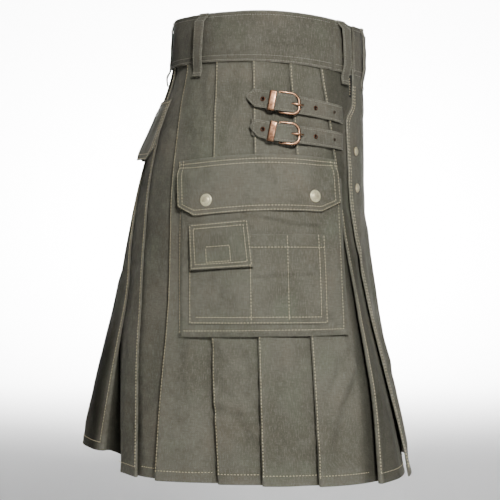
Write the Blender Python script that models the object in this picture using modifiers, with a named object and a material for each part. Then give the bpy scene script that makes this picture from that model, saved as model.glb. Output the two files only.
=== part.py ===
"""A pleated utility kilt, worn hollow, with apron, waistband, pockets and two buckled straps.

Metres, +Z up. The wearer's front is -Y and the wearer's left is +X. The origin is the middle of
the waistband's ring. An angle round the garment is in degrees from the back centre line, positive
to the wearer's right. A place on the hips is given by y, seen from the side, and by height z.
"""

import bmesh
import bpy
import numpy as np
from mathutils import Matrix, Vector

MM = 0.001

# Driving sizes
BAND_HALF_HEIGHT = 31 * MM
BAND_THICK = 2.4 * MM
CLOTH = 1.1 * MM
PITCH = 2.0 * MM
SEAM_GAP = 0.3 * MM
HEM_Z = -573 * MM
FRONT_DIP = 12 * MM
BACK_RISE = 21 * MM
STRAP_WIDTH = 23 * MM
STRAP_THICK = 1.8 * MM
WIRE_RADIUS = 1.3 * MM
PRONG_RADIUS = 1.0 * MM
SNAP_RADIUS = 8.2 * MM
STUD_RADIUS = 6.0 * MM
LOOP_WIDTH = 15 * MM

# The ring round the body, from the waist down:
# height, half width, back depth, front depth, squareness of the front
RING = (
    (33 * MM, 163 * MM, 132 * MM, 131 * MM, 2.0),
    (-31 * MM, 166 * MM, 133 * MM, 132 * MM, 2.0),
    (-100 * MM, 177 * MM, 152 * MM, 132 * MM, 2.0),
    (-170 * MM, 187 * MM, 173 * MM, 132 * MM, 2.1),
    (-240 * MM, 196 * MM, 189 * MM, 135 * MM, 2.2),
    (-350 * MM, 212 * MM, 211 * MM, 146 * MM, 2.6),
    (-450 * MM, 224 * MM, 229 * MM, 166 * MM, 3.1),
    (-573 * MM, 236 * MM, 243 * MM, 190 * MM, 3.6),
)

# Heights of the rows of points down the skirt
SKIRT_ROWS = np.array((-31.3, -75, -100, -150, -200, -255, -310, -360, -430, -500, -573)) * MM
KNOTS = np.array((31, 200, 360, 573)) * MM

# Pleat folds from the wearer's left front round the back to the right front:
# name, angles at the waist, hip, thigh and hem, side of the panel on top, turned under at the
# waist and the hem in degrees, height where it opens, lift and opening at the hem, and how far
# the panel below stands away from the fold at the hem in degrees
FOLDS = (
    ("L5", -115.5, -123.5, -127, -125, -1, 10, 6, -160, 4, 9, 0),
    ("L4", -99.5, -102.5, -104.2, -105.3, -1, 10, 6, -330, 5, 9, 0),
    ("L3", -83, -85, -86.5, -88.3, -1, 10, 6, -330, 4, 8, 0),
    ("L2", -64.5, -68, -70, -74, -1, 10, 6, -330, 2, 8, 0),
    ("L1", -42, -47, -52, -54, -1, 10, 5, -200, 6, 9, 0),
    ("B", -22, -28.5, -37, -43, 1, 9, 5, -300, 6, 9, 0),
    ("A", -9, -13, -22, -20, 1, 7, 6, -300, 32, 12, 0),
    ("A", 9, 13, 25, 20, -1, 7, -5, -340, 0, 34, 11.5),
    ("B", 22, 28.5, 38, 44.5, -1, 9, 4.5, -330, 2, 6, 0),
    ("L1", 42, 47, 52.5, 52.8, 1, 10, 5, -190, 2, 8, 0),
    ("L2", 64.5, 68, 70, 74, 1, 10, 6, -330, -4, 8, 0),
    ("L3", 83, 85, 86.5, 88.3, 1, 10, 6, -330, 2, 8, 0),
    ("L4", 99.5, 102.5, 104.2, 105.3, 1, 10, 6, -330, 5, 9, 0),
    ("L5", 115.5, 123.5, 127, 123.5, 1, 10, 6, -160, 6, 14, 0),
)
# Outer apron's free edge on the right: height, angle, lift
APRON_EDGE = (
    (-31, 143, 0),
    (-75, 141, 0),
    (-100, 133.5, 0),
    (-200, 132, 1),
    (-255, 134, 1),
    (-360, 138.5, 2),
    (-430, 141, 3),
    (-500, 141.5, 6),
    (-573, 139, 14),
)
UNDER_EDGE_ANGLE = 218

# Cut places between the skirt's pieces, each inside a fold: node name, fold where it ends
PIECES = (
    ("apron_outer", 0),
    ("skirt_left_side", 3),
    ("skirt_left_back", 6),
    ("skirt_back", 8),
    ("skirt_right_back", 10),
    ("skirt_right_side", 13),
    ("apron_under", None),
)

# Hip pocket pieces, seen from the side. For the top and then for the foot: y of the back and
# front corner, height of the back and front corner
POCKET_BODY = np.array(((114, -95, -187.5, -178.5), (114, -103, -389.7, -383.2))) * MM
POCKET_FLAP = np.array(((114.5, -86, -163.8, -154.8), (112, -89.6, -237.5, -225.5))) * MM
PATCH = np.array(((98.5, -70.5, -260, -254.4), (98.5, -75, -372.7, -368.8))) * MM
SMALL_FLAP = np.array(((97.8, 24, -245.4, -238), (93.4, 16.8, -303.7, -297.8))) * MM
# How far the flap's top and foot rise in the middle, and how high and wide its corners are cut
FLAP_ARCH = (4.5 * MM, 3.9 * MM)
FLAP_CORNER = 15 * MM
FLAP_CUT = (0.11, 0.12)
SNAPS = ((75.6 * MM, -214 * MM), (-57 * MM, -205.4 * MM))
STUDS = ((-116 * MM, -138 * MM), (-118 * MM, -187 * MM))

# Straps: name, height at the apron's edge, at the buckle and at the tip, y of the tip
STRAPS = (
    ("upper", -93.5 * MM, -87 * MM, -81 * MM, 27 * MM),
    ("lower", -129 * MM, -126.5 * MM, -119.5 * MM, 22.5 * MM),
)
STRAP_START_Y = -99 * MM
BAR_Y = -14.5 * MM
FRAME_END_Y = -40.5 * MM
KEEPER_Y = (-0.4 * MM, -9.6 * MM)
TAB_BACK_Y = 21 * MM
# Distance of the strap's middle from the ring along it: y, distance
STRAP_PATH = (
    (-99, -0.9), (-92, 1.7), (-86, 2.2), (-80, 2.5), (-70, 2.5), (-60, 2.6), (-52, 3.0), (-43, 4.0),
    (-38.5, 4.5), (-30, 8.7), (-20, 9.2), (-14.5, 9.2), (-9.6, 9.0), (-0.4, 8.0), (8, 5.6), (27, 3.6),
)
BAR_OUT = 4.2 * MM
FRAME_END_OUT = 7.3 * MM

LOOP_ANGLES = (("back", 0), ("hip_right", 55), ("hip_left", -55), ("side_right", 131),
               ("side_left", -131), ("apron_right", 160), ("apron_left", -160))
# Path of a belt loop: height, distance from the ring
LOOP_PATH = (
    (31, 2.85), (27, 3.0), (23, 6.4), (18.5, 9.2), (0, 9.5),
    (-18, 9.2), (-31, 6.6), (-40, 2.2), (-49, 1.75),
)
LOOP_THICK = 1.6 * MM

# Waistband: how far its middle stands out, angles of its ends and joints, and the angles
# between which its under end dips behind the free end
BAND_OUT = 0.5 * MM
BAND_ENDS = (-216.5, -125.5, 124, 219)
BAND_JOINT = 0.16
BAND_DIP = (134.5, 141.5)
BAND_CLEAR = 0.9 * MM
# Hook tape under the band's free end: angles and heights
HOOK_TAPE = (139.5, 144.1, -66 * MM, -36 * MM)

# Thicknesses and distances from the ring of the sewn-on pieces
BODY_OUT = (2.2 * MM, 4.7 * MM)
BODY_THICK = 1.2 * MM
FLAP_THICK = 2.0 * MM
FLAP_OUT = (2.2, 3.3, 7.1, 7.6)
PATCH_THICK = 1.2 * MM
PATCH_OUT = (6.4 * MM, 1.2 * MM)
SMALL_THICK = 1.6 * MM
SMALL_OUT = (7.9, 9.0, 10.4)
SNAP_OUT = 8.8 * MM
STUD_OUT = 1.6 * MM

# Back pocket flap: angles, extra spread at its foot, heights of its top, foot and cut corners
BACK_FLAP = (3.5, 29, 1.5)
BACK_FLAP_Z = (-79 * MM, -160 * MM, 14 * MM)
BACK_FLAP_THICK = 1.8 * MM
BACK_FLAP_OUT = (1.7, 3.0, 6.0, 11.0)

# Where the cloth turns under a fold: share of the opening above the middle layer and below it,
# and the widest bends of the fold and of the turn inside, in degrees. The second of each pair
# of shares is for the fold that stands wide open
MIDDLE_SHARE = (0.45, 0.3)
LOWER_SHARE = (0.3, 0.1)
WIDE_REACH = 0.95
FOLD_BEND = 1.5
TURN_BEND = 2.5
APRON_COLUMNS = 14
PANEL_COLUMNS = 5

COLOURS = {
    "cloth": ((0.145, 0.138, 0.110), 0.9, 0.0),
    "cloth_strap": ((0.150, 0.142, 0.115), 0.9, 0.0),
    "hook_tape": ((0.03, 0.03, 0.028), 0.95, 0.0),
    "antique_copper": ((0.32, 0.17, 0.11), 0.38, 1.0),
    "antique_brass": ((0.52, 0.44, 0.31), 0.35, 1.0),
}


def clear_scene():
    for item in list(bpy.data.objects):
        bpy.data.objects.remove(item)


def new_collection(name):
    collection = bpy.data.collections.new(name)
    bpy.context.scene.collection.children.link(collection)
    return collection


def material(name, kind):
    colour, rough, metal = COLOURS[kind]
    made = bpy.data.materials.new(name)
    made.use_nodes = True
    shader = made.node_tree.nodes["Principled BSDF"]
    shader.inputs["Base Color"].default_value = (*colour, 1)
    shader.inputs["Roughness"].default_value = rough
    shader.inputs["Metallic"].default_value = metal
    return made


# Places on the garment
def ring_sizes(z):
    depth = -np.asarray(z, float)
    rows = np.array(RING)
    return [np.interp(depth, -rows[:, 0], rows[:, column]) for column in range(1, 5)]


def ring_radius(angle, z):
    """Distance of the ring from the axis: an ellipse at the back, squarer at the front."""
    half, back, front, square = ring_sizes(z)
    sine = np.abs(np.sin(np.radians(angle)))
    cosine = np.cos(np.radians(angle))
    behind = ((sine / half) ** 2 + (np.abs(cosine) / back) ** 2) ** -0.5
    before = ((sine / half) ** square + (np.abs(cosine) / front) ** square) ** (-1 / square)
    return np.where(cosine > 0, behind, before)


def ring_point(angle, z, out):
    """Plan point on the ring at an angle, moved out along the ring's normal."""
    step = 0.2
    points = []
    for turn in (-step, 0, step):
        radius = ring_radius(angle + turn, z)
        around = np.radians(angle + turn)
        points.append((-radius * np.sin(around), radius * np.cos(around)))
    along = np.array(points[2]) - np.array(points[0])
    along = along / np.hypot(*along)
    return points[1][0] + along[1] * out, points[1][1] - along[0] * out


def dip(angle, z):
    """The waist sits lower at the front, and the hem rides up a little at the back."""
    turned = np.abs((np.asarray(angle, float) + 180) % 360 - 180)
    share = np.clip((turned - 80) / 75, 0, 1)
    fade = np.clip((z - HEM_Z) / (-0.2 - HEM_Z), 0, 1)
    rise = np.clip((33 - turned) / 14, 0, 1) * np.clip((z + 0.36) / (HEM_Z + 0.36), 0, 1)
    return BACK_RISE * rise - FRONT_DIP * share * share * (3 - 2 * share) * fade


def on_ring(angle, z, out):
    angle = np.asarray(angle, float)
    z = np.asarray(z, float)
    x, y = ring_point(angle, z, np.asarray(out, float))
    return np.stack(np.broadcast_arrays(x, y, z + dip(angle, z)), axis=-1)


def angle_at(y, z):
    """Angle on the wearer's right where the ring has this y."""
    low = np.zeros(np.broadcast(y, z).shape)
    high = low + 180
    for _ in range(30):
        middle = (low + high) / 2
        behind = ring_radius(middle, z) * np.cos(np.radians(middle)) > y
        low = np.where(behind, middle, low)
        high = np.where(behind, high, middle)
    return (low + high) / 2


def on_hip(y, z, out, side):
    """Point at y and z on the wearer's right (side 1) or left (side -1) hip, moved out."""
    return on_ring(angle_at(y, z) * side, z, out)


# Closed walls from grids of points
def build_mesh(name, points, faces, look):
    mesh = bpy.data.meshes.new(name)
    mesh.from_pydata([tuple(map(float, p)) for p in points], [], faces)
    shape = bmesh.new()
    shape.from_mesh(mesh)
    bmesh.ops.recalc_face_normals(shape, faces=shape.faces)
    if shape.calc_volume(signed=True) < 0:
        bmesh.ops.reverse_faces(shape, faces=shape.faces)
    shape.to_mesh(mesh)
    shape.free()
    item = bpy.data.objects.new(name, mesh)
    item.data.materials.append(look)
    KILT.objects.link(item)
    return item


def wall(name, outer, inner, look):
    """A sheet with thickness: two grids of points, joined round their border."""
    rows, columns = outer.shape[:2]
    points = np.concatenate([outer.reshape(-1, 3), inner.reshape(-1, 3)])
    shift = rows * columns
    faces = []
    for r in range(rows - 1):
        for c in range(columns - 1):
            a, b = r * columns + c, r * columns + c + 1
            d, e = a + columns, b + columns
            faces += [(a, b, e), (a, e, d)]
            faces += [(a + shift, e + shift, b + shift), (a + shift, d + shift, e + shift)]
    border = [(0, c) for c in range(columns)]
    border += [(r, columns - 1) for r in range(1, rows)]
    border += [(rows - 1, c) for c in range(columns - 2, -1, -1)]
    border += [(r, 0) for r in range(rows - 2, 0, -1)]
    line = [r * columns + c for r, c in border]
    for a, b in zip(line, line[1:] + line[:1]):
        faces += [(a, a + shift, b + shift), (a, b + shift, b)]
    return build_mesh(name, points, faces, look)


def patch(name, place, columns, rows, thick, look, side=None):
    """A wall laid on the garment. place gives y or angle, height and distance at u and v."""
    u, v = np.meshgrid(columns, rows)
    across, z, out = place(u, v)
    if side is None:
        outer = on_ring(across, z, out + thick / 2)
        inner = on_ring(across, z, out - thick / 2)
    else:
        outer = on_hip(across, z, out + thick / 2, side)
        inner = on_hip(across, z, out - thick / 2, side)
    return wall(name, outer, inner, look)


# Skirt and aprons: one long path of cloth at each height
def fold_angle(fold, z):
    return np.interp(-z, KNOTS, fold[1:5])


def opened(fold, z):
    """How far a pleat has opened at this height: 0 where it is stitched, 1 at the hem."""
    share = np.clip((z - fold[8] * MM) / (HEM_Z - fold[8] * MM), 0, 1)
    return share * share * (2 - share)


def edge_at(z):
    """Angle and lift of the outer apron's free edge at this height."""
    rows = np.array(APRON_EDGE)
    depths = -rows[:, 0] * MM
    return np.interp(-z, depths, rows[:, 1]), np.interp(-z, depths, rows[:, 2]) * MM


def fold_state(fold, z):
    """A fold at this height: its angle, the angle where the lower panel ends, the side of the
    upper panel, the degrees turned under, the depths of both panels, and the opening."""
    share = opened(fold, z)
    angle = fold_angle(fold, z)
    gap = fold[10] * MM * share
    top = -fold[9] * MM * share
    if fold[11]:
        turned = np.interp(share, (0, 1), fold[6:8])
        low = top + 2 * PITCH + gap * LOWER_SHARE[1]
    else:
        turned = np.interp(-z, (KNOTS[0], KNOTS[-1]), fold[6:8])
        low = top + 2 * PITCH + gap
    return angle, angle + fold[11] * share, fold[5], turned, top, low, gap


def degrees(length, angle, z):
    """A length along the ring, in degrees."""
    return np.degrees(length / ring_radius(angle, z))


def turned_under(fold, depth_at, z):
    """The points where the cloth turns back under a fold and forward again, starting at the
    lower panel and ending at the fold. depth_at gives the depth of the panel on top."""
    angle, below, side, turned, top, low, gap = fold
    inner = angle + side * turned
    middle = angle + side * turned / 2
    start = (below + inner) / 2
    if below != angle:
        apart = PITCH + gap * MIDDLE_SHARE[1]
        mid_inner = top + PITCH + gap * WIDE_REACH
        low_inner = mid_inner + PITCH + gap * LOWER_SHARE[1]
        start_depth = (low + low_inner) / 2
        middle_depth = (mid_inner + top + apart) / 2
    else:
        apart = PITCH + gap * MIDDLE_SHARE[0]
        mid_inner = depth_at(inner) + apart
        low_inner = mid_inner + PITCH + gap * LOWER_SHARE[0]
        start_depth = depth_at(start) + (low_inner - depth_at(inner) + low - top) / 2
        middle_depth = depth_at(middle) + apart
    bend = min(degrees(apart / 2, angle, z), FOLD_BEND)
    turn = min(degrees((low_inner - mid_inner) / 2, angle, z), TURN_BEND)
    return [
        (start, start_depth),
        (inner, low_inner),
        (inner + side * turn, (low_inner + mid_inner) / 2),
        (inner, mid_inner),
        (middle, middle_depth),
        (angle + side * bend, top + apart),
        (angle, top + apart / 2),
        (angle + side * bend, top),
    ]


def skirt_path(z):
    """Angles and depths of the cloth's middle at a height, and the places to cut."""
    edge, lift = edge_at(z)
    folds = [fold_state(fold, z) for fold in FOLDS]
    ends = [(edge - 360, -lift)]
    for angle, below, side, _, top, low, _ in folds:
        pair = [(angle, top), (below, low)]
        ends += pair[::-1] if side > 0 else pair
    ends.append((UNDER_EDGE_ANGLE, 2 * PITCH + 4 * MM * opened(FOLDS[-1], z)))
    panels = list(zip(ends[0::2], ends[1::2]))
    last = len(FOLDS)

    def depth_at(angle, panel):
        (a, depth_a), (b, depth_b) = panels[panel]
        reach = edge - 2 if panel == last else b
        return depth_a + (depth_b - depth_a) * min((angle - a) / (reach - a), 1)

    path = []
    cuts = []
    for number, ((a, _), (b, _)) in enumerate(panels):
        inside = np.linspace(a, b, PANEL_COLUMNS)[1:-1]
        if number == 0:
            inside = np.linspace(a, b, APRON_COLUMNS)[:-1]
        if number == last:
            inside = np.append(np.linspace(a, edge - 2, 4)[1:], np.linspace(edge + 6, b, 9))
        path += [(angle, depth_at(angle, number)) for angle in inside]
        if number == last:
            break
        forward = folds[number][2] > 0
        cover = number + 1 if forward else number
        under = turned_under(folds[number], lambda angle: depth_at(angle, cover), z)
        cuts.append(len(path) + (4 if forward else 3))
        path += under if forward else under[::-1]
    return np.array(path), cuts


def offset(plan, distance):
    """A plan line moved sideways, mitred at its corners."""
    step = np.diff(plan, axis=0)
    step /= np.hypot(step[:, 0], step[:, 1])[:, None]
    normal = np.stack([-step[:, 1], step[:, 0]], axis=1)
    before = np.vstack([normal[:1], normal])
    after = np.vstack([normal, normal[-1:]])
    middle = before + after
    middle /= np.hypot(middle[:, 0], middle[:, 1])[:, None]
    reach = np.clip((middle * before).sum(axis=1), 0.55, 1)
    return plan + middle * (distance / reach)[:, None]


def skirt_rows():
    """Outer and inner points of the whole cloth, and the cut places."""
    outer = []
    inner = []
    for z in SKIRT_ROWS:
        path, cuts = skirt_path(z)
        points = on_ring(path[:, 0], np.full(len(path), z), -path[:, 1])
        for rows, distance in ((outer, -CLOTH / 2), (inner, CLOTH / 2)):
            moved = offset(points[:, :2], distance)
            rows.append(np.column_stack([moved, points[:, 2]]))
    return np.array(outer), np.array(inner), cuts


def trimmed(rows, start, stop):
    """Columns from start to stop, the last one drawn back by the seam gap."""
    part = rows[:, start:stop + 1].copy()
    if stop < rows.shape[1] - 1:
        last = part[:, -1] - part[:, -2]
        length = np.linalg.norm(last, axis=1, keepdims=True)
        part[:, -1] -= last / length * SEAM_GAP
    return part


def make_skirt():
    outer, inner, cuts = skirt_rows()
    start = 0
    for name, fold in PIECES:
        stop = outer.shape[1] - 1 if fold is None else cuts[fold]
        sides = [trimmed(rows, start, stop) for rows in (outer, inner)]
        wall(name, *sides, material(name, "cloth"))
        start = stop


# Waistband
def band_piece(name, angles, outs):
    index = np.arange(len(angles))

    def place(u, v):
        z = blend(-BAND_HALF_HEIGHT, BAND_HALF_HEIGHT, v)
        return np.interp(u, index, angles), z, np.interp(u, index, outs)
    patch(name, place, index, np.linspace(0, 1, 3), BAND_THICK, material(name, "cloth"))


def make_band():
    start, front_end, back_end, stop = BAND_ENDS
    front = np.append(np.arange(start, front_end, 7), front_end)
    band_piece("waistband_front", front, np.full(len(front), BAND_OUT))
    back = np.linspace(front_end + BAND_JOINT, back_end, 37)
    band_piece("waistband_back", back, np.full(len(back), BAND_OUT))
    near = (back_end + BAND_JOINT, 129, BAND_DIP[0], 138, BAND_DIP[1])
    under = np.append(near, np.linspace(146, stop, 12))
    outs = np.interp(under, BAND_DIP, (BAND_OUT, BAND_OUT - BAND_THICK - BAND_CLEAR))
    band_piece("waistband_under", under, outs)


def make_hook_tape():
    """The closing tape shows below the band's free end, on the under apron."""
    def place(u, v):
        first, last, low, high = HOOK_TAPE
        return blend(first, last, u), blend(low, high, v), np.full_like(u, -1.9 * MM)
    steps = np.linspace(0, 1, 3)
    patch("hook_tape", place, steps, steps, 1.0 * MM, material("hook_tape", "hook_tape"))


# Belt loops
def make_loops():
    heights, outs = np.array(LOOP_PATH).T * MM
    index = np.arange(len(heights))
    for where, angle in LOOP_ANGLES:
        name = "loop_" + where
        half = degrees(LOOP_WIDTH / 2, angle, 0.0)

        def place(u, v):
            return angle + half * u, np.interp(v, index, heights), np.interp(v, index, outs)
        patch(name, place, np.array((-1.0, 0.0, 1.0)), index, LOOP_THICK, material(name, "cloth"))


# Hip pockets
def blend(top, bottom, share):
    return top + (bottom - top) * share


def four_sided(piece, u, v):
    """y and height on a flat piece between its top and its foot."""
    back, front, back_z, front_z = [blend(top, foot, v) for top, foot in zip(*piece)]
    return blend(back, front, u), blend(back_z, front_z, u)


def flap_arch(u, v):
    """The flap's top and foot rise in the middle."""
    return blend(*FLAP_ARCH, v) * (1 - (2 * u - 1) ** 2)


def pocket_body(label, side):
    """A shallow tray: its sides and foot turn in to the skirt, and its top is open."""
    def place(u, v):
        y, z = four_sided(POCKET_BODY, u, v)
        inside = np.minimum(np.minimum(u, 1 - u) / 0.035, (1 - v) / 0.03)
        return y, z + flap_arch(u, 0) * (1 - v), blend(*BODY_OUT, np.clip(inside, 0, 1))
    name = "pocket_body_" + label
    columns = np.concatenate([(0, 0.018), np.linspace(0.035, 0.965, 14), (0.982, 1)])
    rows = np.array((0, 0.15, 0.35, 0.55, 0.75, 0.9, 0.97, 0.985, 1))
    patch(name, place, columns, rows, BODY_THICK, material(name, "cloth"), side)


def pocket_flap(label, side):
    """The big flap hangs from its sewn top over the pocket, its lower corners cut off."""
    def place(u, v):
        y, z = four_sided(POCKET_FLAP, u, v)
        corner = np.clip(np.maximum(1 - u / FLAP_CUT[0], 1 - (1 - u) / FLAP_CUT[1]), 0, 1)
        out = np.interp(v, (0, 0.1, 0.28, 1), FLAP_OUT) * MM
        return y, z + flap_arch(u, v) + corner * FLAP_CORNER * v, out
    name = "pocket_flap_" + label
    first, last = FLAP_CUT[0], 1 - FLAP_CUT[1]
    columns = np.concatenate([(0, first / 2), np.linspace(first, last, 10), ((1 + last) / 2, 1)])
    rows = np.array((0, 0.1, 0.28, 0.65, 1))
    patch(name, place, columns, rows, FLAP_THICK, material(name, "cloth"), side)


def pocket_patch(label, side):
    """The flat patch pocket on the pocket's face."""
    def place(u, v):
        out = PATCH_OUT[0] + PATCH_OUT[1] * np.sin(np.pi * u) * np.sin(np.pi * v)
        return *four_sided(PATCH, u, v), out
    name = "pocket_patch_" + label
    columns = np.linspace(0, 1, 11)
    patch(name, place, columns, np.linspace(0, 1, 5), PATCH_THICK, material(name, "cloth"), side)


def small_flap(label, side):
    """The little flap over the patch pocket's back corner hangs a little slanted."""
    def place(u, v):
        out = np.interp(v, (0, 0.3, 1), SMALL_OUT) * MM
        return *four_sided(SMALL_FLAP, u, v), out
    name = "small_flap_" + label
    columns = np.linspace(0, 1, 6)
    patch(name, place, columns, np.linspace(0, 1, 5), SMALL_THICK, material(name, "cloth"), side)


def back_flap(label, side):
    """The back pocket's flap stands off the skirt at its foot."""
    def place(u, v):
        start, width, spread = BACK_FLAP
        high, low, corner = BACK_FLAP_Z
        foot = low + corner * np.clip((np.abs(2 * u - 1) - 0.55) / 0.45, 0, 1)
        out = np.interp(v, (0, 0.15, 0.5, 1), BACK_FLAP_OUT) * MM
        return (start + width * u + spread * v) * side, blend(high, foot, v), out
    name = "back_flap_" + label
    columns = np.linspace(0, 1, 10)
    patch(name, place, columns, np.linspace(0, 1, 6), BACK_FLAP_THICK, material(name, "cloth"))


# Turned fasteners
def frame_at(y, z, out, side):
    """A matrix at a place on the hip: local z points out, local x to the front."""
    here = on_hip(y, z, out, side)
    away = Vector(on_hip(y, z, out + 5 * MM, side) - here)
    along = Vector(on_hip(y - 2 * MM, z, out, side) - here).normalized()
    upward = Vector(on_hip(y, z + 2 * MM, out, side) - here).normalized()
    return facing(here, away, along, upward)


def strap_frame(strap, y):
    """The same on a strap's middle, with local x along the strap."""
    def spot(back, up, away):
        return on_hip(y + back, strap_height(strap, y + back) + up, strap_out(y + back) + away, 1)
    here = spot(0, 0, 0)
    along = Vector(spot(-2 * MM, 0, 0) - spot(2 * MM, 0, 0)).normalized()
    upward = Vector(spot(0, 2 * MM, 0) - here).normalized()
    return facing(here, Vector(spot(0, 0, 5 * MM) - here), along, upward)


def facing(here, away, along, upward):
    outward = along.cross(upward).normalized()
    if outward.dot(away) < 0:
        outward = -outward
    across = outward.cross(along).normalized()
    turned = Matrix((along, across, outward)).transposed().to_4x4()
    return Matrix.Translation(Vector(here)) @ turned


def turned_cap(name, profile, place, kind):
    """A round fastener, its half outline turned about its axis."""
    mesh = bpy.data.meshes.new(name)
    mesh.from_pydata([(r, 0, h) for r, h in profile], [(i, i + 1) for i in range(len(profile) - 1)], [])
    item = bpy.data.objects.new(name, mesh)
    item.data.materials.append(material(name, kind))
    KILT.objects.link(item)
    screw = item.modifiers.new("turn", "SCREW")
    screw.steps = 20
    screw.render_steps = 20
    screw.use_merge_vertices = True
    screw.merge_threshold = 0.00001
    screw.use_normal_flip = True
    item.matrix_world = place
    return item


def make_snaps(label, side):
    r = SNAP_RADIUS
    profile = [(0, 0), (r, 0), (r, 0.9 * MM), (r * 0.93, 1.5 * MM), (r * 0.72, 2.1 * MM)]
    profile += [(r * 0.66, 1.8 * MM), (r * 0.4, 2.7 * MM), (0, 3.1 * MM)]
    for number, (y, z) in enumerate(SNAPS):
        name = f"snap_{number + 1}_{label}"
        turned_cap(name, profile, frame_at(y, z, SNAP_OUT, side), "antique_brass")


def make_studs():
    r = STUD_RADIUS
    profile = ((0, 0), (r, 0), (r, 0.8 * MM), (r * 0.8, 1.9 * MM), (r * 0.45, 2.5 * MM), (0, 2.7 * MM))
    for number, (y, z) in enumerate(STUDS):
        name = f"apron_stud_{number + 1}"
        turned_cap(name, profile, frame_at(y, z, STUD_OUT, 1), "antique_brass")


# Straps and buckles on the right hip
def strap_height(strap, y):
    _, edge, buckle, tip, tip_y = strap
    return np.interp(-y, (-tip_y, -BAR_Y, -STRAP_START_Y), (tip, buckle, edge))


def strap_out(y):
    rows = np.array(STRAP_PATH) * MM
    return np.interp(y, rows[:, 0], rows[:, 1])


def hole_cutter(name, strap, y, length, width):
    """A rounded plug that cuts a hole through the strap."""
    mesh = bpy.data.meshes.new(name)
    shape = bmesh.new()
    round_size = {"radius1": width / 2, "radius2": width / 2, "depth": 9 * MM}
    bmesh.ops.create_cone(shape, cap_ends=True, segments=12, **round_size)
    for vertex in shape.verts:
        vertex.co.x *= length / width
    shape.to_mesh(mesh)
    shape.free()
    item = bpy.data.objects.new(name, mesh)
    item.matrix_world = strap_frame(strap, y)
    item.hide_render = True
    item.display_type = "WIRE"
    CUTTERS.objects.link(item)
    return item


def cut(item, cutter):
    change = item.modifiers.new(cutter.name, "BOOLEAN")
    change.operation = "DIFFERENCE"
    change.solver = "EXACT"
    change.object = cutter


def make_strap(strap):
    name, tip_y = strap[0], strap[4]

    def place(u, v):
        y = blend(STRAP_START_Y, tip_y, u)
        point = np.clip((y - (tip_y - 11 * MM)) / (11 * MM), 0, 1)
        half = STRAP_WIDTH / 2 * (1 - 0.86 * point ** 1.2)
        return y, strap_height(strap, y) + half * v, strap_out(y)
    turns = np.array([row[0] for row in STRAP_PATH[:-1]]) * MM
    extra = np.array((-45, -36, -22, -10)) * MM
    tips = tip_y - np.array((11, 7, 4, 1.5, 0)) * MM
    stops = np.unique(np.concatenate([turns[turns < tip_y - 12 * MM], extra, tips]))
    columns = (stops - STRAP_START_Y) / (tip_y - STRAP_START_Y)
    item = patch("strap_" + name, place, columns, np.array((-1.0, -0.45, 0.45, 1.0)), STRAP_THICK,
                 material("strap_" + name, "cloth_strap"), 1)
    cut(item, hole_cutter("slot_" + name, strap, -31.5 * MM, 10 * MM, 3.2 * MM))
    for number, y in enumerate((-60 * MM, -85 * MM, 6 * MM)):
        cut(item, hole_cutter(f"hole_{number}_{name}", strap, y, 3.6 * MM, 3.6 * MM))


def make_tab(strap):
    """The tab that holds the buckle: it lies under the strap and turns round the bar."""
    turn = WIRE_RADIUS + 0.3 * MM + 0.6 * MM
    path = [(TAB_BACK_Y, 1.6 * MM), (10 * MM, 1.6 * MM), (-2 * MM, 1.6 * MM), (-9 * MM, 1.65 * MM)]
    round_bar = np.radians(np.arange(0, 196, 32))
    path += [(BAR_Y - turn * np.sin(a), BAR_OUT - turn * np.cos(a)) for a in round_bar]
    plan = np.array(path)
    outer = offset(plan, 0.6 * MM)
    inner = offset(plan, -0.6 * MM)
    half = STRAP_WIDTH / 2 - 0.5 * MM
    sides = []
    for line in (outer, inner):
        rows = []
        for v in (-1.0, 0.0, 1.0):
            y, out = line[:, 0], line[:, 1]
            rows.append(on_hip(y, strap_height(strap, y) + half * v, out, 1))
        sides.append(np.array(rows))
    name = "buckle_tab_" + strap[0]
    item = wall(name, sides[0], sides[1], material(name, "cloth_strap"))
    mesh = bpy.data.meshes.new("tab_slot_" + strap[0])
    shape = bmesh.new()
    bmesh.ops.create_cube(shape, size=1)
    for vertex in shape.verts:
        vertex.co = (vertex.co.x * 9 * MM, vertex.co.y * 4.6 * MM, vertex.co.z * 12 * MM)
    shape.to_mesh(mesh)
    shape.free()
    cutter = bpy.data.objects.new("tab_slot_" + strap[0], mesh)
    cutter.matrix_world = frame_at(BAR_Y - 0.2 * MM, strap_height(strap, BAR_Y), BAR_OUT + 0.6 * MM, 1)
    cutter.hide_render = True
    cutter.display_type = "WIRE"
    CUTTERS.objects.link(cutter)
    cut(item, cutter)


def wire(name, points, radius, closed):
    """A round metal wire along a line of points."""
    curve = bpy.data.curves.new(name, "CURVE")
    curve.dimensions = "3D"
    curve.bevel_depth = radius
    curve.bevel_resolution = 1
    curve.use_fill_caps = not closed
    line = curve.splines.new("POLY")
    line.points.add(len(points) - 1)
    for spot, point in zip(line.points, points):
        spot.co = (*map(float, point), 1)
    line.use_cyclic_u = closed
    item = bpy.data.objects.new(name, curve)
    item.data.materials.append(material(name, "antique_copper"))
    KILT.objects.link(item)
    return item


def make_frame(strap):
    """The buckle's frame: a straight bar at the back and rounded corners at the front."""
    half = STRAP_WIDTH / 2 + 0.5 * MM + WIRE_RADIUS
    bend = 6 * MM
    length = BAR_Y - FRAME_END_Y
    corner = [(bend * np.sin(a), bend * np.cos(a)) for a in np.radians((0, 30, 60, 90))]
    plan = [(0, -half), (0, 0), (0, half), (length * 0.4, half)]
    plan += [(length - bend + forward, half - bend + up) for forward, up in corner]
    plan += [(length, 0)]
    plan += [(length - bend + forward, bend - half - up) for forward, up in corner[::-1]]
    plan += [(length * 0.4, -half)]
    points = []
    for forward, up in plan:
        y = BAR_Y - forward
        out = BAR_OUT + (FRAME_END_OUT - BAR_OUT) * forward / length
        points.append(on_hip(y, strap_height(strap, y) + up, out, 1))
    wire("buckle_frame_" + strap[0], points, WIRE_RADIUS, True)


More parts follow.
